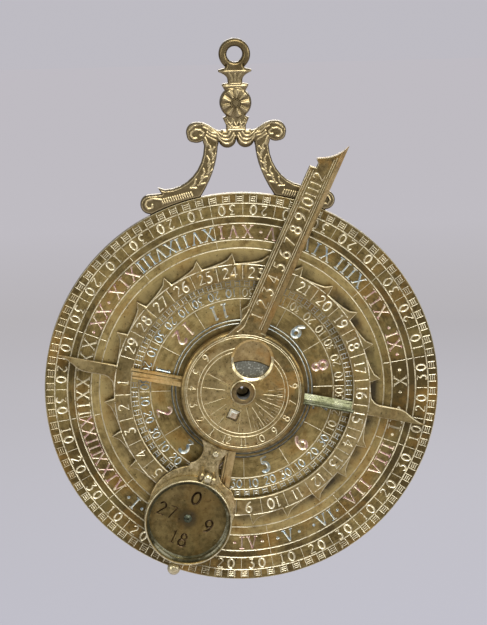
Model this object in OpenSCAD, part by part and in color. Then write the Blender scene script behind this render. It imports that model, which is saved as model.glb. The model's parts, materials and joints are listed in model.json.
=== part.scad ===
// Nocturnal dial: engraved base plate, toothed lunar ring, rule with a reading arm and a hinged compass.
// The dial stands upright: +Z points to the suspension eye and the engraved face looks along -Y.
// All sizes are in millimetres, and the origin is the sight hole's axis at the plate's front face.

/* [Base plate] */
// Radius of the base plate
plate_r = 44; // [40:0.5:50]
// Thickness of the base plate
plate_t = 2.4; // [1.6:0.1:4]
// Chamfer round the plate's edges
plate_edge = 0.25; // [0.1:0.05:0.5]
// Width of the turned scale circles
groove_w = 0.3; // [0.15:0.05:0.5]
// Depth of the turned scale circles
groove_d = 0.12; // [0.05:0.01:0.25]
// Radial width of the hatched degree ring
degree_ring_w = 2.2; // [1.5:0.1:3]
// Radial width of the ring of degree numbers
degree_number_w = 2.85; // [2:0.05:4]
// Radial width of the plain band between the numbers and the signs
plain_band_w = 1.6; // [1:0.05:2.5]
// Radial width of the ring of signs
sign_ring_w = 3.65; // [2.5:0.05:5]
// Radial width of the plain band inside the signs
inner_band_w = 1.85; // [1:0.05:2.5]
// Radius of the line outside the day numbers
day_line_r = 23.1; // [22.6:0.1:23.8]
// Radial width of the ring of day numbers
day_number_w = 2.6; // [2:0.05:3]
// Radial width of the ring of months
month_ring_w = 4.8; // [4:0.05:5.2]
// Distance between the two lines inside the months
month_line_gap = 0.8; // [0.5:0.05:0.9]

/* [Throne] */
// Thickness of the cast throne
throne_t = 2.2; // [1.6:0.1:2.4]
// Distance of the foot scrolls from the middle
foot_reach = 19.4; // [17:0.1:21]
// Radius of the foot scrolls
foot_scroll_r = 2.1; // [1.6:0.05:2.5]
// Half width between the legs under the swag
leg_gap = 4.1; // [3.5:0.1:4.5]
// Width of each leg under the scrolls
leg_w = 3; // [2.4:0.1:3.4]
// Height of the legs above the plate's rim
leg_h = 10.4; // [9.5:0.1:11]
// Half width between the legs where they meet the plate
leg_foot = 9.5; // [8:0.1:10.5]
// Distance of the upturned toes from the middle
toe_x = 17.5; // [16.5:0.1:18.2]
// Height of the toes above the plate's rim
toe_h = 1.5; // [1:0.1:2]
// Distance of the upper scrolls from the middle
scroll_x = 8.75; // [8:0.05:9.5]
// Height of the upper scrolls above the plate's rim
scroll_z = 13.5; // [12.5:0.1:15]
// Radius of the upper scrolls
scroll_r = 2.25; // [1.8:0.05:2.5]
// Radius of the bulb inside each upper scroll
bulb_r = 1.5; // [1.2:0.05:1.7]
// Distance of the bulb from its scroll's centre
bulb_off = 0.9; // [0.6:0.05:1.1]
// Radius of the two lobes of the swag
swag_r = 1.95; // [1.6:0.05:2]
// Height of the swag's lobes above the plate's rim
swag_z = 11.95; // [11.6:0.05:12.4]
// Half width of the leaf cup under the rosette
cup_w = 2.9; // [2.5:0.1:3.2]
// Height of the leaf cup
cup_h = 3; // [2.6:0.1:3.2]
// Height of the rosette above the plate's rim
rosette_z = 19.9; // [19.2:0.1:20.6]
// Radius of the rosette
rosette_r = 3.5; // [3:0.1:3.8]
// Number of petals on the rosette
petals = 8; // [5:1:12]
// Radius of the circle through the petals
petal_d = 1.95; // [1.6:0.05:2.2]
// Radius of the rosette's round heart
heart_r = 0.85; // [0.6:0.05:1]
// Height of the rosette's boss
boss_t = 0.25; // [0.1:0.05:0.4]
// Margin round the rosette's boss
boss_step = 0.2; // [0.1:0.05:0.4]
// Half width of the collar above the rosette
collar_w = 3; // [2.6:0.1:3.4]
// Height of the collar
collar_t = 0.6; // [0.4:0.05:0.9]
// Half width of the neck below the eye
neck_w = 1.6; // [1.3:0.05:1.9]
// Half width of the flared plate below the eye
abacus_w = 3.7; // [3.3:0.1:4]
// Thickness of the flared plate's rim
abacus_t = 0.4; // [0.3:0.05:0.6]
// Height of the suspension eye above the plate's rim
eye_z = 30.5; // [30:0.1:33]
// Outer radius of the suspension eye
eye_r = 3.45; // [3:0.05:4]
// Radius of the hole in the suspension eye
eye_bore_r = 1.75; // [1.4:0.05:2.2]
// Chamfer round the suspension eye
eye_edge = 0.6; // [0.3:0.05:0.8]
// Radius of the dowels that hold the throne to the rim
dowel_r = 0.6; // [0.4:0.05:0.8]
// Length of each throne dowel
dowel_l = 4.4; // [3:0.1:6]
// Angle of each throne dowel from the middle
dowel_a = 15.5; // [14:0.1:17]

/* [Pivot] */
// Radius of the sight hole
sight_r = 1.5; // [1:0.05:1.7]
// Radius of the small peep hole at the sight tube's back
peep_r = 0.35; // [0.3:0.05:0.8]
// Thickness of the sight tube's back round the peep hole
peep_t = 1.2; // [0.6:0.1:1.6]
// Wall of the sight tube
tube_wall = 0.6; // [0.4:0.05:0.8]
// Radius of the sight tube's rear head
tube_head_r = 3.2; // [2.8:0.1:4]
// Depth of the sight tube's countersunk rear head
tube_head_t = 0.7; // [0.4:0.05:1]
// Radius of the front collet
collet_r = 2.85; // [2.75:0.05:3.4]
// Thickness of the front collet
collet_t = 0.55; // [0.3:0.05:0.9]
// Overhang of the tube's lip on the collet
lip_over = 0.35; // [0.2:0.05:0.5]
// Thickness of the tube's lip
lip_t = 0.4; // [0.2:0.05:0.6]
// Radius of the spacer under the lunar ring
spacer_r = 6; // [4:0.1:8]
// Thickness of the spacer under the lunar ring
spacer_t = 0.9; // [0.5:0.05:1.5]

/* [Lunar ring] */
// Thickness of the lunar ring
ring_t = 1.2; // [0.8:0.05:1.6]
// Inner radius of the numbered ring
ring_ri = 24.8; // [24.2:0.1:25.6]
// Radius at the roots of the teeth
tooth_root_r = 28.6; // [27:0.1:29.4]
// Height of each tooth
tooth_h = 2.3; // [1.5:0.1:2.8]
// Lean of each tooth's short edge, in degrees round the pivot
tooth_lean = 1.1; // [0:0.1:2]
// Number of hour teeth
teeth = 24; // [12:2:36]
// Radius at the tips of the two pointers
pointer_r = 42.2; // [38:0.1:43]
// Width of a pointer's blade
pointer_w = 2.7; // [2:0.1:3.5]
// Angle of the first pointer from +X
pointer_a = 168; // [0:1:360]
// Distance of the pointers' straight edges from the centre line
pointer_off = 0.65; // [0:0.05:1]
// Width of a pointer's root on the ring
pointer_root_w = 5.85; // [4.5:0.05:6.5]
// Distance from the teeth's roots to the straight part of a pointer
pointer_shoulder = 2.4; // [2:0.1:3]
// Length of the straight part of a pointer
pointer_straight = 4; // [3:0.1:5]
// Width of the four spokes
spoke_w = 2.4; // [1.5:0.1:3]
// Width of a spoke's flat front
spoke_flat = 0.7; // [0.4:0.05:1]
// Thickness left at a spoke's bevelled edge
spoke_edge_t = 0.55; // [0.3:0.05:0.8]
// Radius of the hub
hub_r = 12.6; // [11.8:0.1:13]
// Radius of the dark moon inlay
moon_r = 9.1; // [7:0.1:9.4]
// Distance of the moon inlay's centre from the pivot
moon_off = 2.6; // [1:0.1:3]
// Direction of the moon inlay's centre from +X
moon_a = -70; // [-180:1:180]
// Thickness of the moon inlay
moon_t = 0.4; // [0.2:0.05:0.6]

/* [Rule] */
// Thickness of the rule
rule_t = 1.8; // [1.6:0.05:2.4]
// Radius of the rule's disc
disc_r = 13.8; // [13.4:0.1:14.6]
// Height of the disc's rounded front rim
disc_edge = 0.6; // [0.2:0.05:0.8]
// Width of the disc's rounded front rim
disc_rim_w = 0.85; // [0.4:0.05:1.2]
// Length of the arm from the pivot to its tip
arm_l = 59.4; // [54:0.1:64]
// Width of the arm
arm_w = 6.3; // [5.5:0.1:7]
// Angle of the arm's reading edge from +X
arm_a = 65; // [0:1:360]
// Distance of the reading edge from the centre line
arm_off = 0.5; // [0:0.05:1]
// Length of the arm's scrolled head
head_l = 7.4; // [6:0.1:8.5]
// Depth of the notch behind the head
notch_w = 1.5; // [1:0.1:2]
// Length of the notch behind the head
notch_l = 1.2; // [0.8:0.1:1.6]
// Length of the ogee where the arm leaves the disc
ogee_l = 4.6; // [3.5:0.1:6]
// Height of the ogee's cusp over the arm's back
ogee_h = 0.9; // [0.5:0.05:1.2]
// Width of the bevel along the reading edge
bevel_w = 1.1; // [0.6:0.05:1.6]
// Thickness left at the reading edge
bevel_t = 0.5; // [0.3:0.05:0.8]
// Distance of the moon aperture from the pivot
aperture_d = 7.5; // [7.4:0.1:8]
// Radius of the moon aperture
aperture_r = 4.2; // [3.6:0.1:4.3]
// Angle of the moon aperture from the reading edge
aperture_a = 7.5; // [4:0.5:20]
// Width of the aperture's bevel
aperture_bevel = 0.45; // [0.2:0.05:0.5]

/* [Compass bracket] */
// Angle of the bracket from the reading edge
bracket_a = 180.4; // [170:0.1:190]
// Thickness of the bracket
bracket_t = 1; // [0.8:0.05:1.1]
// Half width of the bracket's waist
waist_w = 2.75; // [2.3:0.05:3.2]
// Widening of the waist at both of its ends
waist_flare = 1.6; // [1:0.1:2]
// Radius of the hollow on each side of the waist
waist_hollow_r = 3.4; // [2.8:0.1:4]
// Reach of the straight ledge past the pivot's middle line
ledge_l = 1.4; // [0.5:0.1:2]
// Width of the straight ledge below the disc
ledge_w = 0.65; // [0.4:0.05:0.9]
// Radius of the crescent's outer edge
crescent_r = 9.7; // [9:0.1:10.5]
// Offset of the crescent's centre from the bowl's
crescent_off = 2.4; // [1.8:0.1:3]
// Width of the crescent's horns under the bowl
horn_w = 1.9; // [1.2:0.1:2.5]
// Half width of the tongue under the disc
tongue_w = 2.6; // [2.4:0.05:2.8]
// Distance of the stud inside the disc's rim
stud_in = 8.3; // [7:0.1:8.6]
// Side of the stud's square head
stud_w = 2.2; // [1.4:0.1:2.4]
// Height of the stud's head
stud_h = 0.8; // [0.4:0.05:1.2]
// Slope of the stud's sides
stud_slope = 0.45; // [0.1:0.05:0.6]
// Radius of the rivet shanks
rivet_r = 0.55; // [0.4:0.05:0.7]
// Distance of the leaf's rivet outside the disc's rim
leaf_rivet_out = 1.6; // [1.4:0.1:2.2]
// Radius of the leaf's rivet head
leaf_rivet_r = 0.85; // [0.75:0.05:1]
// Height of the leaf's rivet head
leaf_rivet_h = 0.4; // [0.2:0.05:0.6]

/* [Hinge] */
// Distance of the hinge axis outside the disc's rim
hinge_out = 6.5; // [6.2:0.1:7.5]
// Radius of the hinge pin
pin_r = 0.4; // [0.3:0.05:0.5]
// Radius of the ball-shaped knuckle on the bowl
knuckle_r = 1.2; // [1.1:0.05:1.25]
// Length of the knuckle on the bowl
knuckle_l = 1.9; // [1.4:0.1:3.2]
// Radius of the ears round the pin
ear_r = 0.95; // [0.8:0.05:1]
// Thickness of each ear
ear_t = 0.65; // [0.5:0.05:1.4]
// Thickness of the hinge leaf
leaf_t = 0.5; // [0.3:0.05:0.8]
// Half width of the leaf's strap
leaf_w = 1.2; // [1.1:0.05:1.6]
// Gap between the hinge axis and the bowl's wall
hinge_gap = 1.25; // [1.2:0.05:1.5]
// Depth of the hinge axis below the bowl's rim
hinge_drop = 0.4; // [0:0.05:0.8]

/* [Compass] */
// Outer radius of the compass bowl
bowl_r = 9.7; // [9:0.1:10.2]
// Height of the compass bowl
bowl_h = 4.7; // [4.4:0.1:6]
// Wall of the compass bowl
bowl_wall = 0.55; // [0.4:0.05:0.8]
// Rounding of the compass bowl's rim
bowl_rim = 0.16; // [0.1:0.01:0.18]
// Floor of the compass bowl
bowl_floor = 0.6; // [0.4:0.05:1]
// Depth of the glass seat below the rim
seat_drop = 0.9; // [0.6:0.05:1.4]
// Width of the glass seat
seat_w = 0.5; // [0.3:0.05:0.8]
// Height of the glass seat
seat_t = 0.4; // [0.3:0.05:0.8]
// Radius of the needle post's foot
post_r = 0.9; // [0.6:0.05:1.3]
// Height of the needle post
post_h = 1.5; // [0.8:0.1:2]
// Height of the needle post's foot
post_foot_h = 0.5; // [0.3:0.05:0.6]
// Radius of the needle post above its foot
post_stem_r = 0.35; // [0.25:0.05:0.5]
// Radius of the needle post's tip
post_tip_r = 0.12; // [0.08:0.02:0.2]
// Radius of the knob
knob_r = 1.45; // [1.2:0.05:1.8]
// Radius of the knob's stalk
stalk_r = 0.65; // [0.5:0.05:0.9]
// Gap from the bowl's wall to the knob
knob_gap = 0.3; // [0.2:0.05:0.8]
// Angle of the knob from the bracket's axis
knob_a = 7; // [-15:1:15]

/* [Clearances] */
// Radial running clearance of the turning pieces
run_fit = 0.05; // [0.03:0.01:0.08]
// Play between turning faces
play = 0.08; // [0.05:0.01:0.15]
// Clearance round the bowl and its knuckle
bowl_play = 0.15; // [0.1:0.01:0.25]
// Clearance of pieces that are let in
seat_fit = 0.02; // [0.01:0.01:0.04]
// Clearance of the moon inlay round the tube
inlay_fit = 0.3; // [0.2:0.05:0.4]

/* [Hidden] */
$fn = 96;

brass = "#9a8248";
old_brass = "#7d6a3c";
bright_brass = "#b89a58";
dark_metal = "#4a4a44";

// Heights above the plate's front face, towards the reader
ring_h = spacer_t + play;
ring_top = ring_h + ring_t;
rule_h = ring_top + play;
rule_top = rule_h + rule_t;
collet_h = rule_top + play;
lip_h = collet_h + collet_t;
bracket_top = rule_h + bracket_t;
bowl_base = bracket_top + bowl_play;
bowl_top = bowl_base + bowl_h;
hinge_h = bowl_top - hinge_drop;
throne_h = -(plate_t + throne_t) / 2;

// Radii of the turned circles on the plate, from the rim inwards
degree_r = plate_r - degree_ring_w;
number_r = degree_r - degree_number_w;
band_r = number_r - plain_band_w;
sign_r = band_r - sign_ring_w;
field_r = sign_r - inner_band_w;
month_r = day_line_r - day_number_w;
month_in_r = month_r - month_ring_w;
circles = [month_in_r - month_line_gap, month_in_r, month_r, day_line_r,
    field_r, sign_r, band_r, number_r, degree_r];

tube_r = sight_r + tube_wall;
pivot_bore_r = tube_r + run_fit;
stud_d = disc_r - stud_in;
leaf_rivet_d = disc_r + leaf_rivet_out;
hinge_d = disc_r + hinge_out;
bowl_d = hinge_d + hinge_gap + bowl_r;
bracket_angle = arm_a + bracket_a;
ear_y = knuckle_l / 2 + bowl_play;
leaf_front = hinge_d - ear_r;
arm_back = arm_off + arm_w;
pointer_back = pointer_w - pointer_off;
// Overlap of cuts and of outlines that grow together
over = 0.5;
lap = 0.4;
// Direction of the bulb inside an upper scroll, and of the arm's hidden heel inside the disc
bulb_a = -45;
heel_a = 40;

// Corners of the curves along a leg's inner and outer edges, from the plate's rim level
leg_back = leg_gap + leg_w;
instep = toe_h * 2 / 3;
leg_inner = [[leg_gap, leg_h + lap], [leg_gap + lap / 2, leg_h * 2 / 3], [leg_gap + leg_w / 2, leg_h / 4],
    [leg_foot, -leg_h / 4]];
leg_outer = [[toe_x - toe_h, instep], [leg_foot + toe_h, instep], [leg_back + lap / 2, leg_h / 2],
    [leg_back, leg_h]];
// Corners of a foot, from its hidden inner end round to the toe's tip
foot_edge = [[foot_reach, -3 * foot_scroll_r], [foot_reach, 0], [toe_x - toe_h / 2, lap / 2], [toe_x, toe_h]];
// Corners of the curve over an upper scroll
scroll_peak = scroll_z + scroll_r;
scroll_top = [[cup_w + lap, scroll_z + lap / 2], [scroll_x - scroll_r * 3 / 2, scroll_z + lap],
    [scroll_x - scroll_r * 5 / 4, scroll_peak], [scroll_x - lap, scroll_peak]];

// Dial frame: x to the right, y up to the eye, z out of the dial towards the reader
module dial() {
    rotate([90, 0, 0]) children();
}

// Dial frame turned about the pivot, so that x runs outwards at an angle
module radial(angle) {
    dial() rotate([0, 0, angle]) children();
}

// A flat shape as a sheet between two heights
module sheet(h, t) {
    translate([0, 0, h]) linear_extrude(t) children();
}

module disc(r, h, t) {
    translate([0, 0, h]) cylinder(r = r, h = t);
}

// Points of a cubic curve between four corners
function curve(a, b, c, d, n = 8) = [for (i = [0:n]) let (t = i / n, u = 1 - t)
    u * u * u * a + 3 * u * u * t * b + 3 * u * t * t * c + t * t * t * d];

function spline(corners) = curve(corners[0], corners[1], corners[2], corners[3]);

function polar(r, a) = [r * cos(a), r * sin(a)];

function flip(points) = [for (p = points) [-p[0], p[1]]];

module base_plate() {
    rim = [[plate_r - plate_edge, 0], [plate_r, -plate_edge], [plate_r, plate_edge - plate_t],
        [plate_r - plate_edge, -plate_t]];
    lines = [for (r = circles) each [[r - groove_w / 2, 0], [r, -groove_d], [r + groove_w / 2, 0]]];
    color(brass) difference() {
        dial() difference() {
            rotate_extrude($fn = 180) polygon(concat([[0, -plate_t], [0, 0]], lines, rim));
            disc(tube_r + seat_fit, -plate_t - over, plate_t + 2 * over);
            tube_head(seat_fit);
        }
        dowel_pair(seat_fit);
    }
}

// Countersunk head at the plate's back
module tube_head(gap) {
    translate([0, 0, -plate_t]) cylinder(r1 = tube_head_r + gap, r2 = tube_r + gap, h = tube_head_t);
}

module dowel_pair(gap) {
    for (side = [-1, 1]) dial() rotate([0, 0, 90 + side * dowel_a])
        translate([plate_r - dowel_l / 2 - gap, 0, -plate_t / 2]) rotate([0, 90, 0])
            cylinder(r = dowel_r + gap, h = dowel_l + 2 * gap, $fn = 32);
}

// One half of the throne's scrolled bracket, with heights measured from the plate's rim
module throne_half() {
    polygon(concat(spline(leg_inner), foot_edge, spline(leg_outer)));
    polygon(concat(spline(scroll_top), [[scroll_x, scroll_z], [leg_back + lap, leg_h + leg_w / 2],
        [leg_back, leg_h], [leg_gap, leg_h]]));
    translate([scroll_x, scroll_z]) {
        circle(scroll_r);
        rotate(bulb_a) translate([bulb_off, 0]) circle(bulb_r);
    }
    translate([foot_reach, -foot_scroll_r]) circle(foot_scroll_r);
    translate([swag_r + run_fit, swag_z]) circle(swag_r);
}

// The turned and filed finial above the swag, as its outline
module finial() {
    cup_z = swag_z + swag_r;
    cup_top = cup_z + cup_h;
    collar_z = rosette_z + rosette_r;
    abacus_z = eye_z - eye_r - abacus_t;
    cup_in = cup_w * 3 / 4;
    flare = abacus_w - neck_w;
    cup = [[leg_gap, swag_z], [cup_w + lap, cup_z], [cup_in, cup_z], [cup_in, cup_z + cup_h / 3],
        [cup_w, cup_top - cup_h / 10], [cup_in, cup_top]];
    collar = [[collar_w * 3 / 4, collar_z - collar_t * 3 / 2], [collar_w, collar_z + collar_t * 2 / 3],
        [collar_w - collar_t / 2, collar_z + collar_t], [neck_w, collar_z + collar_t * 4 / 3]];
    neck = curve([neck_w, abacus_z - flare], [neck_w, abacus_z - flare * 2 / 3],
        [neck_w + flare / 10, abacus_z - flare / 3], [abacus_w - abacus_t / 4, abacus_z]);
    abacus = [[abacus_w, abacus_z + abacus_t], [neck_w + abacus_t * 3 / 2, abacus_z + abacus_t * 2],
        [neck_w + abacus_t * 3 / 4, eye_z - eye_r * 2 / 3]];
    side = concat(cup, collar, neck, abacus);
    last = len(side) - 1;
    polygon(concat(side, flip([for (i = [last:-1:0]) side[i]])));
    translate([0, rosette_z]) circle(rosette_r);
}

// The suspension eye, round its bore and with its edges taken off
module eye() {
    half = throne_t / 2;
    translate([0, eye_z, throne_h + half]) rotate_extrude() polygon([[0, -half], [eye_r - eye_edge, -half],
        [eye_r, eye_edge - half], [eye_r, half - eye_edge], [eye_r - eye_edge, half], [0, half]]);
}

// Petals and heart on a low boss
module rosette() {
    petal_r = min(petal_d * sin(180 / petals), rosette_r - petal_d) - run_fit;
    translate([0, rosette_z, throne_h + throne_t]) {
        cylinder(r1 = rosette_r - boss_step, r2 = rosette_r - boss_step - boss_t, h = boss_t);
        sphere(r = heart_r, $fn = 24);
        for (i = [0:petals - 1]) rotate([0, 0, 360 / petals * i]) translate([petal_d, 0, 0])
            sphere(r = petal_r, $fn = 24);
    }
}

module throne() {
    color(old_brass) difference() {
        dial() difference() {
            translate([0, plate_r, 0]) {
                sheet(throne_h, throne_t) {
                    throne_half();
                    mirror([1, 0]) throne_half();
                    finial();
                }
                eye();
                rosette();
            }
            disc(plate_r, throne_h - over, throne_t + 2 * over, $fn = 180);
            translate([0, plate_r + eye_z, throne_h - over])
                cylinder(r = eye_bore_r, h = throne_t + 2 * over);
        }
        dowel_pair(seat_fit);
    }
}

module throne_dowels() {
    color(old_brass) dowel_pair(0);
}

module sight_tube() {
    color(bright_brass) dial() difference() {
        union() {
            disc(tube_r, -plate_t, plate_t + lip_h);
            tube_head(0);
            translate([0, 0, lip_h]) cylinder(r1 = tube_r + lip_over, r2 = tube_r, h = lip_t);
        }
        disc(sight_r, peep_t - plate_t, plate_t - peep_t + lip_h + lip_t + over);
        disc(peep_r, -plate_t - over, peep_t + 2 * over);
    }
}

module washer(r, h, t) {
    difference() {
        disc(r, h, t);
        disc(tube_r + seat_fit, h - over, t + 2 * over);
    }
}

module front_collet() {
    color(brass) dial() washer(collet_r, collet_h, collet_t);
}

module ring_spacer() {
    color(brass) dial() washer(spacer_r, 0, spacer_t);
}

// Outline of one hour tooth: its tip, then a hollow sweep down to the foot of the next tooth's short edge
function tooth(i, n = 6) = let (pitch = 360 / teeth) [for (k = [0:n]) let (s = k / n)
    polar(tooth_root_r + tooth_h * (1 - sqrt(1 - (1 - s) * (1 - s))),
        pointer_a + pitch * i + (pitch - tooth_lean) * s)];

// A pointer's blade with its straight edge on the clockwise side
module pointer() {
    shoulder_r = tooth_root_r + pointer_shoulder;
    blade_r = shoulder_r + pointer_straight;
    root_y = pointer_root_w - pointer_off;
    hook = pointer_w / 3 - pointer_off;
    root = curve([ring_ri, root_y], [tooth_root_r, root_y], [tooth_root_r, pointer_back],
        [shoulder_r, pointer_back]);
    tip = curve([blade_r, pointer_back], [blade_r + pointer_w, pointer_back], [blade_r + pointer_w, hook],
        [pointer_r, -pointer_off]);
    polygon(concat([[ring_ri, -pointer_off]], root, tip));
}

// A spoke with its back edge bevelled away, from the distance of its straight edge to the centre line
module spoke(edge) {
    translate([hub_r - over, 0, ring_h]) rotate([90, 0, 90]) linear_extrude(ring_ri - hub_r + 2 * over)
        polygon([[edge, 0], [edge + spoke_w, 0], [edge + spoke_w, spoke_edge_t],
            [edge + spoke_flat, ring_t], [edge, ring_t]]);
}

module lunar_ring() {
    color(brass) dial() difference() {
        union() {
            sheet(ring_h, ring_t) {
                difference() {
                    union() {
                        polygon([for (i = [0:teeth - 1]) each tooth(i)]);
                        for (half = [0, 180]) rotate(pointer_a + half) pointer();
                    }
                    circle(ring_ri, $fn = 180);
                }
                circle(hub_r);
            }
            for (half = [0, 180]) rotate([0, 0, pointer_a + half]) {
                spoke(-pointer_off);
                rotate([0, 0, 90]) spoke(-spoke_w / 2);
            }
        }
        disc(pivot_bore_r, ring_h - over, ring_t + 2 * over);
        moon_disc(moon_r + seat_fit, over);
    }
}

// The moon's place in the hub, from its seat upwards
module moon_disc(r, extra) {
    rotate([0, 0, moon_a]) translate([moon_off, 0, ring_top - moon_t]) cylinder(r = r, h = moon_t + extra);
}

module moon_inlay() {
    color(dark_metal) dial() difference() {
        moon_disc(moon_r, 0);
        disc(tube_r + inlay_fit, ring_h, ring_t + over);
    }
}

// The arm's outline, along x from the pivot with the reading edge below it
module arm_outline() {
    head_x = arm_l - head_l;
    notch_x = head_x + notch_l;
    notch_y = arm_back - notch_w;
    heel = polar(disc_r - over, heel_a);
    ogee_y = arm_back + ogee_h;
    head_y = notch_y + notch_w / 2;
    cusp = curve([disc_r, arm_back], [disc_r + ogee_l / 3, arm_back], [disc_r + ogee_l / 2, ogee_y],
        [disc_r + ogee_l * 2 / 3, ogee_y], 4);
    notch = [[head_x, arm_back], [head_x + notch_w / 8, notch_y], [notch_x, notch_y]];
    head = curve([notch_x + notch_w / 2, head_y], [notch_x + notch_w, head_y],
        [notch_x + notch_w, arm_off + arm_w / 3], [arm_l, arm_off]);
    polygon(concat([[disc_r - ogee_l, arm_off], heel], cusp, [[disc_r + ogee_l, arm_back]], notch, head));
}

module rule() {
    back_edge = arm_off + bevel_w;
    rim = [for (a = [0:15:90]) [disc_r - disc_rim_w * (1 - cos(a)), rule_top - disc_edge * (1 - sin(a))]];
    color(brass) radial(arm_a) difference() {
        union() {
            rotate_extrude() polygon(concat([[0, rule_h], [disc_r, rule_h]], rim, [[0, rule_top]]));
            sheet(rule_h, rule_t) arm_outline();
        }
        translate([disc_r, 0, 0]) rotate([90, 0, 90]) linear_extrude(arm_l)
            polygon([[arm_off - over, rule_h + bevel_t - over * (rule_t - bevel_t) / bevel_w],
                [back_edge + over, rule_top + over * (rule_t - bevel_t) / bevel_w],
                [arm_off - over, rule_top + over]]);
        rotate([0, 0, aperture_a]) translate([aperture_d, 0, 0]) {
            disc(aperture_r, rule_h - over, rule_t + 2 * over);
            translate([0, 0, rule_top - aperture_bevel])
                cylinder(r1 = aperture_r, r2 = aperture_r + 2 * aperture_bevel, h = 2 * aperture_bevel);
        }
        disc(pivot_bore_r, rule_h - over, rule_t + 2 * over);
        rotate([0, 0, bracket_a]) {
            sheet(rule_h - over, bracket_t + over) tongue(seat_fit);
            translate([stud_d, 0, 0]) disc(rivet_r + seat_fit, rule_h, rule_t + over, $fn = 32);
        }
    }
}

// The bracket's tongue, which lies in a pocket under the disc
module tongue(gap) {
    start = stud_d - stud_w / 2 - gap;
    translate([start, -tongue_w - gap]) square([disc_r + over - start, 2 * (tongue_w + gap)]);
}

// A straight ledge along the lowest part of the disc's rim
module ledge() {
    rotate(-bracket_angle) translate([-waist_w, -disc_r - ledge_w])
        square([waist_w + ledge_l, ledge_w + over]);
}

// Waist between the disc and the crescent, hollowed on both sides
module waist() {
    crescent_near = bowl_d - crescent_off - crescent_r;
    start = disc_r - over;
    end = crescent_near + horn_w;
    half = waist_w + waist_flare;
    difference() {
        union() {
            translate([start, -half]) square([end - start, 2 * half]);
            ledge();
        }
        for (side = [-1, 1]) translate([(disc_r + crescent_near) / 2, side * (waist_w + waist_hollow_r)])
            circle(waist_hollow_r);
        circle(disc_r + seat_fit);
    }
}

module compass_bracket() {
    color(old_brass) radial(bracket_angle) difference() {
        sheet(rule_h, bracket_t) {
            tongue(0);
            waist();
            difference() {
                translate([bowl_d - crescent_off, 0]) circle(crescent_r);
                translate([bowl_d, 0]) circle(bowl_r - horn_w);
            }
        }
        for (d = [stud_d, leaf_rivet_d]) translate([d, 0, 0])
            disc(rivet_r + seat_fit, rule_h - over, bracket_t + 2 * over, $fn = 32);
    }
}

module hinge_leaf() {
    strap_l = leaf_front - disc_r - bowl_play + ear_r;
    color(brass) radial(bracket_angle) difference() {
        union() {
            translate([disc_r + bowl_play, -leaf_w, bracket_top]) cube([strap_l, 2 * leaf_w, leaf_t]);
            translate([leaf_front, -ear_y - ear_t, bracket_top]) cube([ear_r, 2 * (ear_y + ear_t), leaf_t]);
            for (side = [0, 1]) mirror([0, side, 0]) translate([hinge_d, ear_y, 0]) {
                translate([-ear_r, 0, bracket_top]) cube([2 * ear_r, ear_t, hinge_h - bracket_top]);
                translate([0, 0, hinge_h]) rotate([-90, 0, 0]) cylinder(r = ear_r, h = ear_t);
            }
        }
        hinge_bore(pin_r + seat_fit);
        translate([leaf_rivet_d, 0, 0])
            disc(rivet_r + seat_fit, bracket_top - over, leaf_t + 2 * over, $fn = 32);
    }
}

// A round bar along the hinge axis, longer than the hinge
module hinge_bore(r) {
    half = ear_y + ear_t + over;
    translate([hinge_d, half, hinge_h]) rotate([90, 0, 0]) cylinder(r = r, h = 2 * half, $fn = 48);
}

module leaf_rivet() {
    color(bright_brass) radial(bracket_angle) translate([leaf_rivet_d, 0, 0]) {
        disc(rivet_r, rule_h, bracket_t + leaf_t, $fn = 32);
        translate([0, 0, bracket_top + leaf_t]) cylinder(r1 = leaf_rivet_r, r2 = rivet_r, h = leaf_rivet_h);
    }
}

module bracket_stud() {
    color(bright_brass) radial(bracket_angle) translate([stud_d, 0, 0]) {
        disc(rivet_r, rule_h, rule_t, $fn = 32);
        translate([0, 0, rule_top]) intersection_for(turn = [0, 90]) rotate([90, 0, turn])
            translate([0, 0, -stud_w / 2]) linear_extrude(stud_w)
                polygon([[-stud_w / 2, 0], [stud_w / 2, 0], [stud_w / 2 - stud_slope, stud_h],
                    [stud_slope - stud_w / 2, stud_h]]);
    }
}

module hinge_pin() {
    half = ear_y + ear_t;
    color(bright_brass) radial(bracket_angle) translate([hinge_d, half, hinge_h]) rotate([90, 0, 0])
        cylinder(r = pin_r, h = 2 * half, $fn = 48);
}

module compass_bowl() {
    inside_r = bowl_r - bowl_wall;
    color(old_brass) radial(bracket_angle) translate([bowl_d, 0, bowl_base]) rotate_extrude($fn = 120)
        polygon([[0, 0], [bowl_r - bowl_rim, 0], [bowl_r, bowl_rim], [bowl_r, bowl_h - bowl_rim],
            [bowl_r - bowl_rim, bowl_h], [inside_r + bowl_rim, bowl_h], [inside_r, bowl_h - bowl_rim],
            [inside_r, bowl_floor], [0, bowl_floor]]);
}

module bowl_knuckle() {
    web_t = knuckle_r;
    half = knuckle_l / 2;
    ball = [for (i = [-3:3]) let (y = half * i / 3) [sqrt(knuckle_r * knuckle_r - y * y), y]];
    color(brass) radial(bracket_angle) difference() {
        translate([hinge_d, 0, hinge_h]) {
            rotate([-90, 0, 0]) rotate_extrude() polygon(concat([[0, -half]], ball, [[0, half]]));
            translate([0, -half, -web_t]) cube([hinge_gap + over, knuckle_l, web_t]);
        }
        translate([bowl_d, 0, bowl_base - over])
            cylinder(r = bowl_r, h = bowl_h + 2 * over + knuckle_r, $fn = 120);
        hinge_bore(pin_r + run_fit);
    }
}

module glass_seat_ring() {
    inside_r = bowl_r - bowl_wall;
    color(brass) radial(bracket_angle) translate([bowl_d, 0, bowl_top - seat_drop - seat_t])
        rotate_extrude($fn = 120) translate([inside_r - seat_w, 0]) square([seat_w, seat_t]);
}

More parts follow.
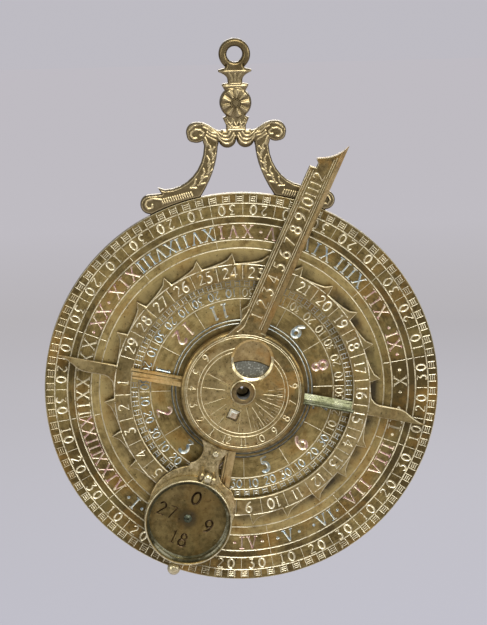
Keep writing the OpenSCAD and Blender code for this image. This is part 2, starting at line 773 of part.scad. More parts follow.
module needle_post() {
    color(old_brass) radial(bracket_angle) translate([bowl_d, 0, bowl_base + bowl_floor])
        rotate_extrude($fn = 48)
            polygon([[0, 0], [post_r, 0], [post_r, post_foot_h / 2], [post_stem_r, post_foot_h],
                [post_tip_r, post_h], [0, post_h]]);
}

module compass_knob() {
    centre_d = bowl_r + knob_gap + knob_r;
    color(bright_brass) radial(bracket_angle) translate([bowl_d, 0, bowl_base + bowl_h / 2]) difference() {
        rotate([0, 0, knob_a]) {
            translate([centre_d, 0, 0]) sphere(r = knob_r, $fn = 48);
            translate([bowl_r - over, 0, 0]) rotate([0, 90, 0])
                cylinder(r = stalk_r, h = knob_gap + knob_r + over, $fn = 32);
        }
        translate([0, 0, -bowl_h]) cylinder(r = bowl_r, h = 2 * bowl_h, $fn = 120);
    }
}

base_plate();
throne();
throne_dowels();
sight_tube();
front_collet();
ring_spacer();
lunar_ring();
moon_inlay();
rule();
compass_bracket();
hinge_leaf();
leaf_rivet();
bracket_stud();
hinge_pin();
compass_bowl();
bowl_knuckle();
glass_seat_ring();
needle_post();
compass_knob();
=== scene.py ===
"""Dresses the nocturnal dial: engraved and numbered brass, a carved throne, soft studio light.

The dial stands upright, +Z to the suspension eye, and its engraved face looks along -Y. Flat places on the
dial are in millimetres: x to the right, y up, and a height h towards the reader.
"""

import contextlib
import json
import math

import bmesh
import bpy
import numpy
from mathutils import Matrix, Vector, geometry, kdtree

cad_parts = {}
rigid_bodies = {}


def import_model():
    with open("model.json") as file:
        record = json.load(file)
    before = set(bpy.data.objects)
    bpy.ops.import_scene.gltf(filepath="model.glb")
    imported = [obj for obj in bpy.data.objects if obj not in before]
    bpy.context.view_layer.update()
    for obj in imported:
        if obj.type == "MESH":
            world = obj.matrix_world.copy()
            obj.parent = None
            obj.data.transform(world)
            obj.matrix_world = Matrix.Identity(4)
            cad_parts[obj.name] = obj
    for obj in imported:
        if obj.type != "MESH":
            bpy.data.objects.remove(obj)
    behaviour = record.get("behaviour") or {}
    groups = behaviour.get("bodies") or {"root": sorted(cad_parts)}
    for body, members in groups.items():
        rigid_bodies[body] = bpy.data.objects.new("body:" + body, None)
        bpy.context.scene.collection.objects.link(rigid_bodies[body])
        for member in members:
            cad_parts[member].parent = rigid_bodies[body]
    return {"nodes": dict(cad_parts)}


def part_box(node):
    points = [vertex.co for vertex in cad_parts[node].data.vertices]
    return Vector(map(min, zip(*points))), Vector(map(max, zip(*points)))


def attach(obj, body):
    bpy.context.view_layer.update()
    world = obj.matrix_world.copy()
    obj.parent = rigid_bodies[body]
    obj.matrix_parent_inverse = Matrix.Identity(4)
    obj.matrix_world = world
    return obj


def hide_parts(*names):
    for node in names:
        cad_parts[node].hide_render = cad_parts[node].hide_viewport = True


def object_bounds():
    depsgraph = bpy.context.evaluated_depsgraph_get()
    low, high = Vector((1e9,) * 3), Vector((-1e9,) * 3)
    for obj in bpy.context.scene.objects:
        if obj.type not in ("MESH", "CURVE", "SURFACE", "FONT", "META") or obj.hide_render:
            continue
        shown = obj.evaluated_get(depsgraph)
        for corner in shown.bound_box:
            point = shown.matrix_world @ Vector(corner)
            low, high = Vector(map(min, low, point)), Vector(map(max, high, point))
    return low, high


bpy.data.batch_remove(list(bpy.data.objects))
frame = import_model()
cad_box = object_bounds()
NODES = frame["nodes"]

MM = 0.001
# The way the dial faces
FRONT = Vector((0, -1, 0))

# Circles on the plate, from the rim inwards
PLATE_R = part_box("base_plate")[1].x / MM
DEGREE_R = PLATE_R - 2.2
NUMBER_R = DEGREE_R - 2.85
BAND_R = NUMBER_R - 1.6
HOUR_R = BAND_R - 3.65
FIELD_R = HOUR_R - 1.85
DAY_R = 23.1
MONTH_R = 20.5
MONTH_IN_R = 15.7
# Turned circles on the plate's back
BACK_CIRCLES = (PLATE_R - 1.3, PLATE_R - 2.2, PLATE_R - 9.0, 9.0, 8.2)
# The lunar ring, the rule's disc and the ring's hub under it
RING_R = 24.8
TOOTH_ROOT_R = 28.6
DISC_R = 13.8
HUB_R = 12.6
BOWL_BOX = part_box("compass_bowl")
BOWL_CENTRE = Vector((BOWL_BOX[0].x + BOWL_BOX[1].x, BOWL_BOX[0].z + BOWL_BOX[1].z)) / 2 / MM

# Angles, in degrees from +X
SCALE_START = 8.5
POINTER_ANGLE = 168.0
ARM_ANGLE = 65.0
BRACKET_ANGLE = 245.4

# A cut's depth for its width, how far its sweep stands above the surface, and how it runs out at an open end
CUT_DEPTH = 0.42
CUT_LIFT = 0.06
CUT_RUNOUT = 0.62
# Room between a dividing mark and the circles it stands between
MARGIN = 0.25

# Steps round a turned piece
LATHE_STEPS = 128
PLATE_STEPS = 256
BOWL_STEPS = 120


# Flat geometry on the dial

def at(x, y, h=0.0):
    return Vector((x * MM, -h * MM, y * MM))


def flat(point):
    """A place in the frame as a flat place on the dial."""
    return Vector((point.x, point.z)) / MM


def polar(r, angle):
    a = math.radians(angle)
    return Vector((r * math.cos(a), r * math.sin(a)))


def oval(cx, cy, rx, ry, start=0.0, turn=360.0, steps=14):
    closed = abs(turn) >= 360
    count = steps if closed else steps + 1
    angles = [math.radians(start + turn * i / steps) for i in range(count)]
    return [Vector((cx + rx * math.cos(a), cy + ry * math.sin(a))) for a in angles]


def bezier(a, b, c, d, steps=12):
    a, b, c, d = (Vector(p) for p in (a, b, c, d))
    points = []
    for i in range(steps + 1):
        t = i / steps
        u = 1 - t
        points.append(u ** 3 * a + 3 * u * u * t * b + 3 * u * t * t * c + t ** 3 * d)
    return points


def front_of(node):
    """Height of a CAD node's front above the plate, in millimetres."""
    return -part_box(node)[0].y / MM


def back_of(node):
    return -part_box(node)[1].y / MM


# Meshes

@contextlib.contextmanager
def edited(mesh):
    """A mesh's editable form, written back at the end."""
    bm = bmesh.new()
    bm.from_mesh(mesh)
    yield bm
    bm.to_mesh(mesh)
    bm.free()


def new_mesh(name, verts, faces, materials=()):
    mesh = bpy.data.meshes.new(name)
    mesh.from_pydata(verts, [], faces)
    for material in materials:
        mesh.materials.append(material)
    with edited(mesh) as bm:
        bmesh.ops.recalc_face_normals(bm, faces=bm.faces)
    return mesh


def copy_of(node, material):
    """A CAD node's mesh with its loose triangles joined, in one finish."""
    mesh = NODES[node].data.copy()
    with edited(mesh) as bm:
        bmesh.ops.remove_doubles(bm, verts=bm.verts, dist=1e-6)
    mesh.materials.clear()
    mesh.materials.append(material)
    return mesh


def finish_faces(mesh, finishes, pick):
    """Adds finishes to a mesh and gives each face the one that pick names; None leaves a face as it is."""
    for finish in finishes:
        mesh.materials.append(finish)
    slots = {finish.name: i for i, finish in enumerate(mesh.materials)}
    for face in mesh.polygons:
        finish = pick(face)
        if finish:
            face.material_index = slots[finish.name]


def faces_reader(face):
    return face.normal.y < -0.3


def level_faces(bm, h):
    """Faces that lie flat at one height of the dial."""
    return [f for f in bm.faces if all(abs(v.co.y + h * MM) < 2e-6 for v in f.verts)]


def border_loops(faces):
    """The loops of some faces that run along their outline."""
    inside = set(faces)
    return [loop for face in faces for loop in face.loops
            if not all(other in inside for other in loop.edge.link_faces)]


def ease_front(mesh, h, edge, rows=1, worn=None):
    """Takes the sharp rim off a flat front: a chamfer with one row, a round with more, in a worn finish."""
    edge *= MM
    # The pull of a corner grows as it gets sharper, up to this share
    sharpest = 0.34
    with edited(mesh) as bm:
        front = level_faces(bm, h)
        rim = [(loop.vert, loop.link_loop_next.vert) for loop in border_loops(front)]
        pulls = {}
        for a, b in rim:
            inward = FRONT.cross(b.co - a.co).normalized()
            for v in (a, b):
                pulls.setdefault(v, []).append(inward)
        ladders = {}
        for v, ways in pulls.items():
            pull = sum(ways, Vector()) / len(ways)
            pull = pull / max(sharpest, pull.length_squared)
            ladders[v] = [v]
            for k in range(1, rows + 1):
                a = math.pi / 2 * k / rows
                drop = Vector((0, edge * (1 - math.sin(a)), 0))
                ladders[v].append(bm.verts.new(v.co + pull * edge * (1 - math.cos(a)) + drop))
        old = [face for face in front if any(v in ladders for v in face.verts)]
        for face in old:
            bm.faces.new([ladders[v][-1] if v in ladders else v for v in face.verts])
        bmesh.ops.delete(bm, geom=old, context="FACES")
        for v in ladders:
            v.co.y += edge
        if worn:
            mesh.materials.append(worn)
        for a, b in rim:
            for k in range(rows):
                face = bm.faces.new((ladders[a][k], ladders[b][k], ladders[b][k + 1], ladders[a][k + 1]))
                face.material_index = len(mesh.materials) - 1
        bmesh.ops.recalc_face_normals(bm, faces=bm.faces)
    return mesh


def soften(mesh, width, corner=40.0, segments=2):
    """Breaks the sharp edges of a mesh with small rounds."""
    with edited(mesh) as bm:
        bmesh.ops.dissolve_limit(bm, angle_limit=math.radians(0.3), verts=bm.verts, edges=bm.edges)
        sharp = [e for e in bm.edges if e.is_manifold and math.degrees(e.calc_face_angle()) > corner]
        bmesh.ops.bevel(bm, geom=sharp, offset=width * MM, segments=segments, profile=0.5, affect="EDGES",
                        clamp_overlap=True, loop_slide=True)
    return mesh


def linked(name, data):
    """A new object in the scene."""
    made = bpy.data.objects.new(name, data)
    bpy.context.scene.collection.objects.link(made)
    return made


def evaluated_mesh(thing):
    bpy.context.view_layer.update()
    return bpy.data.meshes.new_from_object(thing.evaluated_get(bpy.context.evaluated_depsgraph_get()))


def carve(mesh, cutter):
    """The mesh with a cutter's shape taken out. The cut faces keep the cutter's material."""
    block, tool = linked("block", mesh), linked("tool", cutter)
    cut = block.modifiers.new("cut", "BOOLEAN")
    cut.operation = "DIFFERENCE"
    cut.solver = "MANIFOLD"
    cut.material_mode = "TRANSFER"
    cut.object = tool
    done = evaluated_mesh(block)
    for thing in (block, tool):
        bpy.data.objects.remove(thing)
    return done


def piece(name, mesh, body, node, smooth=15.0):
    """A finished piece in the scene, riding on its body in place of a CAD node."""
    mesh.name = name
    mesh.polygons.foreach_set("use_smooth", [True] * len(mesh.polygons))
    mesh.set_sharp_from_angle(angle=math.radians(smooth))
    made = linked(name, mesh)
    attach(made, body)
    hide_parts(node)


def turned(name, profile, material, centre=(0.0, 0.0), steps=LATHE_STEPS):
    """A lathe-turned mesh from a closed profile of (radius, height), about an axis out of the dial."""
    verts, faces, rings = [], [], []
    for r, h in profile:
        if r < 1e-6:
            rings.append([len(verts)])
            verts.append(at(centre[0], centre[1], h))
            continue
        rings.append(list(range(len(verts), len(verts) + steps)))
        for i in range(steps):
            p = polar(r, 360 * i / steps)
            verts.append(at(centre[0] + p.x, centre[1] + p.y, h))
    for a, b in zip(rings, rings[1:] + rings[:1]):
        if len(a) == 1 and len(b) == 1:
            continue
        for i in range(steps):
            j = (i + 1) % steps
            corners = [a[i % len(a)], a[j % len(a)], b[j % len(b)], b[i % len(b)]]
            faces.append(list(dict.fromkeys(corners)))
    return new_mesh(name, verts, faces, [material])


# Repeated marks

def repeat_tree():
    """Geometry nodes that set copies of a mark round the pivot."""
    tree = bpy.data.node_groups.new("marks_round_the_pivot", "GeometryNodeTree")
    sockets = {"Mark": "Geometry", "Count": "Int", "Step": "Float", "First": "Float", "Finish": "Material"}
    for name, kind in sockets.items():
        tree.interface.new_socket(name, in_out="INPUT", socket_type="NodeSocket" + kind)
    tree.interface.new_socket("Marks", in_out="OUTPUT", socket_type="NodeSocketGeometry")
    add = tree.nodes.new
    given, out = add("NodeGroupInput").outputs, add("NodeGroupOutput")
    line = add("GeometryNodeMeshLine")
    line.inputs["Offset"].default_value = (0, 0, 0)
    index = add("GeometryNodeInputIndex")
    angle = add("ShaderNodeMath")
    angle.operation = "MULTIPLY_ADD"
    turn = add("ShaderNodeCombineXYZ")
    euler = add("FunctionNodeEulerToRotation")
    spread = add("GeometryNodeInstanceOnPoints")
    real = add("GeometryNodeRealizeInstances")
    finish = add("GeometryNodeSetMaterial")
    for source, socket in (
            (given["Count"], line.inputs["Count"]), (line.outputs[0], spread.inputs["Points"]),
            (index.outputs[0], angle.inputs[0]), (given["Step"], angle.inputs[1]),
            (given["First"], angle.inputs[2]), (angle.outputs[0], turn.inputs["Y"]),
            (turn.outputs[0], euler.inputs[0]), (euler.outputs[0], spread.inputs["Rotation"]),
            (given["Mark"], spread.inputs["Instance"]), (spread.outputs[0], real.inputs[0]),
            (real.outputs[0], finish.inputs["Geometry"]), (given["Finish"], finish.inputs["Material"]),
            (finish.outputs[0], out.inputs[0])):
        tree.links.new(source, socket)
    return tree


REPEAT = repeat_tree()
SOCKET = {item.name: item.identifier for item in REPEAT.interface.items_tree}


def round_pivot(mark, count, step, first, finish):
    """Copies of a mark mesh round the pivot, counter-clockwise, as one plain mesh."""
    holder = linked("marks", mark)
    nodes = holder.modifiers.new("marks", "NODES")
    nodes.node_group = REPEAT
    # A turn about +Y runs clockwise as the reader sees it
    values = {"Count": count, "Step": -math.radians(step), "First": -math.radians(first), "Finish": finish}
    for name, value in values.items():
        nodes[SOCKET[name]] = value
    done = evaluated_mesh(holder)
    holder.modifiers.clear()
    bpy.data.objects.remove(holder)
    return done


# Engraving

def groove(path, width, height, closed=False):
    """Corners and faces of a V cut along a flat path in a surface at a height."""
    count = len(path)
    corners, faces = [], []
    for i, p in enumerate(path):
        inner = closed or 0 < i < count - 1
        back = (p - path[i - 1]).normalized() if closed or i else None
        on = (path[(i + 1) % count] - p).normalized() if closed or i < count - 1 else None
        back, on = back or on, on or back
        way = (back + on).normalized()
        side = Vector((-way.y, way.x))
        reach = 1.0 if inner else CUT_RUNOUT
        deep = CUT_DEPTH * width * reach
        half = width / 2 * reach / max(0.6, way.dot(on)) * (deep + CUT_LIFT) / deep
        lip = height + CUT_LIFT
        corners += [at(*(p + side * half), lip), at(*(p - side * half), lip), at(*p, height - deep)]
    for i in range(count if closed else count - 1):
        a, b = 3 * i, 3 * ((i + 1) % count)
        faces += [(a, b, b + 1, a + 1), (a + 1, b + 1, b + 2, a + 2), (a + 2, b + 2, b, a)]
    if not closed:
        last = 3 * (count - 1)
        faces += [(0, 1, 2), (last, last + 2, last + 1)]
    return corners, faces


# The strokes of a numeral: (path, whether it closes, weight)

def stroke(weight, *points):
    return [Vector(p) for p in points], False, weight


def upright(weight, x):
    return stroke(weight, (x, 0.0), (x, 1.0))


def serif(x, y, half=0.17):
    return stroke(0.7, (x - half, y), (x + half, y))


def bow(weight, *shape, **steps):
    return oval(*shape, **steps), len(shape) == 4, weight


def tail(*corners):
    return bezier(*corners, 6), False, 1


# Numerals in a box one unit high: the width, then the strokes of each turn of cutting
GLYPHS = {
    "0": (0.66, [bow(1, 0.33, 0.5, 0.29, 0.47)]),
    "1": (0.42, [upright(1, 0.2)], [serif(0.2, 0.03), stroke(0.7, (0.06, 0.86), (0.2, 0.98))]),
    "2": (0.64, [bow(0.8, 0.3, 0.72, 0.23, 0.25, 165, -200, 9)], [stroke(1, (0.5, 0.62), (0.06, 0.04))],
          [stroke(0.9, (0.04, 0.04), (0.6, 0.05))]),
    "3": (0.6, [stroke(0.8, (0.08, 0.96), (0.52, 0.96))], [stroke(0.8, (0.52, 0.96), (0.24, 0.6))],
          [bow(1, 0.26, 0.3, 0.27, 0.3, 95, -240, 10)]),
    "4": (0.66, [stroke(0.8, (0.44, 1.0), (0.04, 0.3))], [upright(1, 0.44)],
          [stroke(0.8, (0.02, 0.3), (0.64, 0.3))]),
    "5": (0.6, [stroke(0.9, (0.16, 0.95), (0.54, 0.98))], [stroke(0.8, (0.17, 0.96), (0.13, 0.56))],
          [bow(1, 0.25, 0.31, 0.28, 0.31, 115, -255, 10)]),
    "6": (0.62, [bow(1, 0.32, 0.28, 0.25, 0.28)], [tail((0.52, 0.98), (0.25, 0.9), (0.08, 0.62), (0.08, 0.3))]),
    "7": (0.6, [stroke(0.9, (0.04, 0.95), (0.56, 0.97))], [stroke(1, (0.54, 0.96), (0.18, 0.0))]),
    "8": (0.62, [bow(0.9, 0.31, 0.75, 0.2, 0.22, steps=12)], [bow(1, 0.31, 0.27, 0.26, 0.27)]),
    "9": (0.62, [bow(1, 0.3, 0.72, 0.25, 0.27)], [tail((0.54, 0.7), (0.54, 0.4), (0.38, 0.12), (0.1, 0.02))]),
    "I": (0.42, [upright(1.2, 0.21)], [serif(0.21, 0.02, 0.2), serif(0.21, 0.98, 0.2)]),
    "V": (0.82, [stroke(1.2, (0.1, 1.0), (0.41, 0.0))], [stroke(0.8, (0.7, 1.0), (0.42, 0.02))],
          [serif(0.1, 0.98, 0.15), serif(0.71, 0.98, 0.13)]),
    "X": (0.82, [stroke(1.2, (0.1, 1.0), (0.72, 0.0))], [stroke(0.8, (0.7, 1.0), (0.1, 0.0))],
          [serif(0.1, 0.98, 0.15), serif(0.71, 0.98, 0.13), serif(0.1, 0.02, 0.13), serif(0.72, 0.02, 0.15)]),
    "*": (0.36, [stroke(1.1, (0.06, 0.5), (0.3, 0.5))], [stroke(1.1, (0.18, 0.38), (0.18, 0.62))]),
}


def spread_text(text, gap):
    """Each numeral of a text with the place of its left side from the text's middle."""
    x = (gap - sum(GLYPHS[c][0] + gap for c in text)) / 2
    for c in text:
        yield c, x
        x += GLYPHS[c][0] + gap


class Burin:
    """Collects cuts by finish and by turn, so that cuts of one turn never cross."""

    def __init__(self, height):
        self.height = height
        self.cuts = {}
        self.rounds = []

    def line(self, path, width, finish, turn=0, closed=False):
        corners, faces = self.cuts.setdefault((turn, finish.name), ([], []))
        base = len(corners)
        new_corners, new_faces = groove(path, width, self.height, closed)
        corners += new_corners
        faces += [[base + i for i in face] for face in new_faces]

    def write(self, text, size, place, finish, weight=0.15, gap=0.12):
        """Numerals along a local line: place turns a point beside the text's middle into one on the dial."""
        for c, x in spread_text(text, gap):
            for turn, strokes in enumerate(GLYPHS[c][1:]):
                for path, closed, heavy in strokes:
                    spots = [place(Vector(((x + p.x) * size, (p.y - 0.5) * size))) for p in path]
                    self.line(spots, weight * size * heavy, finish, turn, closed)

    def write_round(self, text, size, radius, angle, finish, inward=True, weight=0.15, gap=0.12):
        """Numerals on a circle, each turned to its own place, tops inward or outward."""
        way = 1 if inward else -1
        for c, x in spread_text(text, gap):
            turned_by = way * math.degrees((x + GLYPHS[c][0] / 2) * size / radius)
            out = polar(1, angle + turned_by)
            along = Vector((-out.y, out.x)) * way
            self.write(c, size, lambda p: out * (radius - way * p.y) + along * p.x, finish, weight)

    def marks(self, path, width, count, step, first, finish, turn=0):
        """One cut repeated round the pivot."""
        mark = new_mesh("mark", *groove(path, width, self.height))
        self.rounds.append((turn, round_pivot(mark, count, step, first, finish)))

    def rays(self, r0, r1, width, count, step, first, finish):
        """Straight cuts from one radius to another, repeated round the pivot."""
        self.marks([polar(r0, 0), polar(r1, 0)], width, count, step, first, finish)

    def ladders(self, r0, r1, step, rails, rungs, count, first, finish):
        """A ring of ladders: rails half a step apart, and rungs of (shares of the way out, arc, width)."""
        for start in (0.0, step / 2):
            self.rays(r0, r1, rails, count, step, first + start, finish)
        shares, arc, width = rungs
        for share in shares:
            r = r0 + (r1 - r0) * share
            self.marks([polar(r, a) for a in arc], width, count, step, first, finish, 1)

    def cut(self, mesh):
        """The mesh with all the cuts made, one turn after the other."""
        for _, marks in sorted(self.rounds, key=lambda pair: pair[0]):
            mesh = carve(mesh, marks)
        for (_, name), (corners, faces) in sorted(self.cuts.items()):
            mesh = carve(mesh, new_mesh("cuts", corners, faces, [bpy.data.materials[name]]))
        return mesh


# Finishes

class Shader:
    """The node tree of a material or a world, with short ways to add to it."""

    def __init__(self, owner):
        self.owner = owner
        owner.use_nodes = True
        tree = owner.node_tree
        tree.nodes.clear()
        self.add, self.link = tree.nodes.new, tree.links.new
        self.coords = self.add("ShaderNodeTexCoord").outputs["Object"]

    def feed(self, socket, value):
        """Gives a socket a link, a number or a colour."""
        if isinstance(value, bpy.types.NodeSocket):
            self.link(value, socket)
        elif isinstance(value, (int, float)):
            socket.default_value = value
        else:
            socket.default_value = (*value, 1)[:len(socket.default_value)]

    def node(self, kind, inputs, **settings):
        """A node with its inputs fed; gives its outputs."""
        made = self.add("ShaderNode" + kind)
        for name, value in settings.items():
            setattr(made, name, value)
        for key, value in inputs.items():
            self.feed(made.inputs[key], value)
        return made.outputs

    def math(self, operation, *values):
        return self.node("Math", dict(enumerate(values)), operation=operation)[0]

    def mix(self, share, a, b):
        return self.node("Mix", {0: share, 6: a, 7: b}, data_type="RGBA")[2]

    def span(self, value, low, high, to_low=0.0, to_high=1.0):
        return self.node("MapRange", {"Value": value, "From Min": low, "From Max": high,
                                      "To Min": to_low, "To Max": to_high})[0]

    def noise(self, scale, detail, rough, coords=None):
        return self.node("TexNoise", {"Vector": coords or self.coords, "Scale": scale, "Detail": detail,
                                      "Roughness": rough})["Fac"]

    def ramp(self, value, stops):
        made = self.add("ShaderNodeValToRGB")
        elements = made.color_ramp.elements
        while len(elements) < len(stops):
            elements.new(0.5)
        for element, (place, colour) in zip(elements, stops):
            element.position = place
            element.color = (*colour, 1)
        self.link(value, made.inputs[0])
        return made.outputs[0]

    def round_coords(self, centre):
        """Distance from an axis out of the dial, and the angle round it."""
        split = self.node("SeparateXYZ", {0: self.coords})
        x = self.math("ADD", split["X"], -centre.x * MM)
        z = self.math("ADD", split["Z"], -centre.y * MM)
        squares = self.math("ADD", self.math("MULTIPLY", x, x), self.math("MULTIPLY", z, z))
        return self.math("SQRT", squares), self.math("ARCTAN2", z, x)

    def by_radius(self, radius, stops):
        """A value that follows the distance from the axis, from stops in millimetres."""
        return self.ramp(self.span(radius, 0, PLATE_R * MM), [(r / PLATE_R, [level] * 3) for r, level in stops])

    def by_angle(self, angle, stops):
        """A value that follows the angle round the axis, in shares of the turn from -X counter-clockwise."""
        return self.ramp(self.span(angle, -math.pi, math.pi), [(share, [level] * 3) for share, level in stops])

    def scratches(self, turn, stretch):
        """Fine lines one way over the surface."""
        mapped = self.node("Mapping", {"Vector": self.coords, "Scale": stretch, "Rotation": (0, turn, 0)})[0]
        return self.noise(1100, 2, 0.5, mapped)

    def metal(self, colour, metallic, roughness, bump=None):
        """Closes the tree as metal, with a bump of (height, strength, distance)."""
        inputs = {"Base Color": colour, "Metallic": metallic, "Roughness": roughness}
        if bump:
            inputs["Normal"] = self.node("Bump", dict(zip(("Height", "Strength", "Distance"), bump)))[0]
        self.link(self.node("BsdfPrincipled", inputs)[0], self.add("ShaderNodeOutputMaterial").inputs[0])
        return self.owner


def new_shader(name):
    return Shader(bpy.data.materials.new(name))


# Dark brown dirt, which on the plate also serves as painted shade
DIRT_AND_SHADE_TONE = (0.066, 0.051, 0.027)
# Golden and greenish clouds, as shares of the brass's own colour
GOLDEN = (1.5, 1.12, 0.7)
GREENISH = (1.15, 1.25, 1.2)


def aged_brass(name, dark, mid, light, gloss, patch, lathe=0.0, sectors=None, bands=None, stain=0.5,
               warm=0.45, dirt_and_shade=None, centre=Vector((0, 0)), pitted=0.0):
    """Old handled brass: cloudy tarnish, lathe rings, stains, pits and fine scratches."""
    made = new_shader(name)
    tinted = lambda shares: [c * share for c, share in zip(mid, shares)]
    cloud = made.noise(patch, 8, 0.62)
    fine = made.noise(5.5 * patch, 5, 0.65)
    tone = made.math("MULTIPLY_ADD", fine, 0.45, made.math("MULTIPLY", cloud, 0.55))
    radius, angle = made.round_coords(centre)
    if lathe:
        track = made.node("CombineXYZ", {"X": radius, "Y": made.math("MULTIPLY", angle, 0.0015)})[0]
        rings = made.noise(2600, 3, 0.6, track)
        tone = made.math("MULTIPLY_ADD", rings, lathe, made.math("ADD", tone, -lathe / 2))
    # Painted light and shade that follow the angle round the centre
    if sectors:
        tone = made.math("ADD", tone, made.math("ADD", made.by_angle(angle, sectors), -0.5))
    if bands:
        tone = made.math("ADD", tone, made.math("ADD", made.by_radius(radius, bands), -0.5))
    colour = made.ramp(tone, [(0.37, dark), (0.5, mid), (0.65, light)])
    glow = made.span(made.noise(130, 6, 0.65), 0.5, 0.66, 0, warm)
    colour = made.mix(glow, colour, tinted(GOLDEN))
    sheen = made.span(made.noise(57, 4, 0.6), 0.54, 0.7, 0, warm)
    colour = made.mix(sheen, colour, tinted(GREENISH))
    blot = made.span(made.noise(260, 6, 0.7), 0.56, 0.68)
    colour = made.mix(made.math("MULTIPLY", blot, stain), colour, [c * 0.35 for c in dark])
    # Dirt, and on the plate also painted shade by the disc and under the lunar ring's teeth
    if dirt_and_shade:
        rings, sides = dirt_and_shade
        mask = made.span(made.noise(190, 6, 0.68), 0.4, 0.58, 0.4, 1.0)
        mask = made.math("MULTIPLY", mask, made.by_radius(radius, rings))
        mask = made.math("MULTIPLY", mask, made.by_angle(angle, sides))
        colour = made.mix(mask, colour, DIRT_AND_SHADE_TONE)
    pit = made.span(made.noise(1500, 3, 0.55), 0.62 - pitted, 0.7 - pitted)
    colour = made.mix(made.math("MULTIPLY", pit, 0.7), colour, [c * 0.3 for c in dark])
    scratches = made.math("ADD", made.scratches(0.5, (1, 1, 0.04)), made.scratches(0.9, (0.04, 1, 1)))
    height = made.math("MULTIPLY_ADD", fine, 1.2, scratches)
    roughness = made.span(tone, 0.35, 0.65, gloss + 0.12, gloss - 0.08)
    return made.metal(colour, 0.9, roughness, (height, 0.16, 0.0001))


def engraved_line(name, bright, trace, share, fade=0.6):
    """The walls of a cut: clean bright metal with traces of old filling, dulled in places."""
    made = new_shader(name)
    grain = made.noise(1100, 4, 0.7)
    colour = made.mix(made.span(grain, 0.62 - share, 0.72 - share), bright, trace)
    dull = made.span(made.noise(160, 5, 0.65), 0.42, 0.66, 0, fade)
    return made.metal(made.mix(dull, colour, [c * 0.3 for c in trace]), 0.8, 0.38)


def chased_brass(name, ground, ridge):
    """Cast brass, dark in the ground and bright on the chased ridges: oxide and rubbing, partly painted shade
    in the ground and painted highlight on the ridges.
    """
    made = new_shader(name)
    rubbed = made.node("Attribute", {}, attribute_name="ridge")["Fac"]
    cloud = made.noise(300, 5, 0.65)
    patchy = made.math("MULTIPLY_ADD", cloud, 0.7, -0.25)
    share = made.node("Math", {0: rubbed, 1: patchy}, operation="ADD", use_clamp=True)[0]
    return made.metal(made.mix(share, ground, ridge), 0.9, 0.34, (cloud, 0.1, 0.0001))


def stippled_metal(name, ground, spark):
    """Grey metal punched all over with fine bright grains."""
    made = new_shader(name)
    grain = made.noise(2300, 2, 0.5)
    cloud = made.noise(420, 3, 0.6)
    level = made.math("MULTIPLY_ADD", cloud, 0.35, made.math("MULTIPLY", grain, 0.65))
    colour = made.mix(made.span(level, 0.53, 0.64), ground, spark)
    return made.metal(colour, 0.75, 0.42, (grain, 0.5, 0.0002))


# Brightness of the plate round the pivot: painted light and shade, lightest at the top, darkest on the right
PLATE_PAINTED_LIGHT = [(0.0, 0.52), (0.1, 0.44), (0.2, 0.48), (0.31, 0.54), (0.4, 0.5), (0.5, 0.4), (0.6, 0.49),
                 (0.74, 0.55), (0.86, 0.55), (0.95, 0.53), (1.0, 0.52)]
# Brightness of the plate by radius: dull by the disc and at the rim, lighter in the field and inside the hours,
# and lifted over the day scale as painted light against the lunar ring's shadow
PLATE_BANDS = [(13.0, 0.43), (16.5, 0.51), (19.5, 0.53), (23.0, 0.54), (25.2, 0.53), (28.4, 0.5), (30.0, 0.63),
               (31.8, 0.64), (31.9, 0.57), (33.65, 0.57), (33.75, 0.45), (37.3, 0.45), (37.4, 0.39),
               (38.9, 0.39), (39.0, 0.44), (41.7, 0.44), (41.9, 0.4), (43.8, 0.42)]
# Where the plate is darkened by dirt and by painted shade: by the disc and under the teeth, most of it on the
# right
PLATE_DIRT_AND_SHADE = ([(13.5, 0.9), (15.0, 0.45), (17.0, 0.1), (22.5, 0.05), (25.0, 0.05), (27.5, 1.0), (29.8, 1.0),
                (31.2, 0.12), (36.0, 0.1), (37.3, 0.4), (38.9, 0.4), (39.2, 0.1), (43.8, 0.25)],
               [(0.0, 0.3), (0.14, 0.3), (0.26, 0.7), (0.36, 1.0), (0.55, 1.0), (0.66, 0.75), (0.8, 0.7),
                (0.92, 0.4), (1.0, 0.3)])
# Brightness of the lunar ring: a painted highlight, lighter at the lower right
RING_PAINTED_LIGHT = [(0.0, 0.5), (0.2, 0.5), (0.3, 0.55), (0.42, 0.57), (0.5, 0.51), (0.65, 0.5), (1.0, 0.5)]
# Brightness of the rule: painted light on the disc's left and painted shade on its right, dull along the arm
RULE_BANDS = [(4.0, 0.58), (9.5, 0.55), (11.5, 0.49), (16.0, 0.45), (43.0, 0.45)]
RULE_PAINTED_LIGHT = [(0.0, 0.54), (0.25, 0.53), (0.4, 0.42), (0.5, 0.34), (0.6, 0.4), (0.7, 0.46), (0.85, 0.52),
                (1.0, 0.54)]
# Brightness of the bowl's floor by distance from its post, and dirt round the post's foot
BOWL_BANDS = [(0.5, 0.18), (1.3, 0.3), (2.6, 0.5), (7.0, 0.53), (8.4, 0.45)]
BOWL_GRIME = ([(0.5, 1.0), (1.5, 0.95), (2.5, 0.12), (3.2, 0.0), (8.4, 0.0)], [(0.0, 1.0), (1.0, 1.0)])
# Brightness round the bowl's wall: a painted glint at the lower left, painted shade at the top
WALL_PAINTED_LIGHT = [(0.0, 0.4), (0.08, 0.45), (0.125, 0.68), (0.18, 0.58), (0.25, 0.44), (0.33, 0.55), (0.42, 0.58),
                (0.5, 0.5), (0.6, 0.42), (0.75, 0.35), (0.9, 0.38), (1.0, 0.4)]

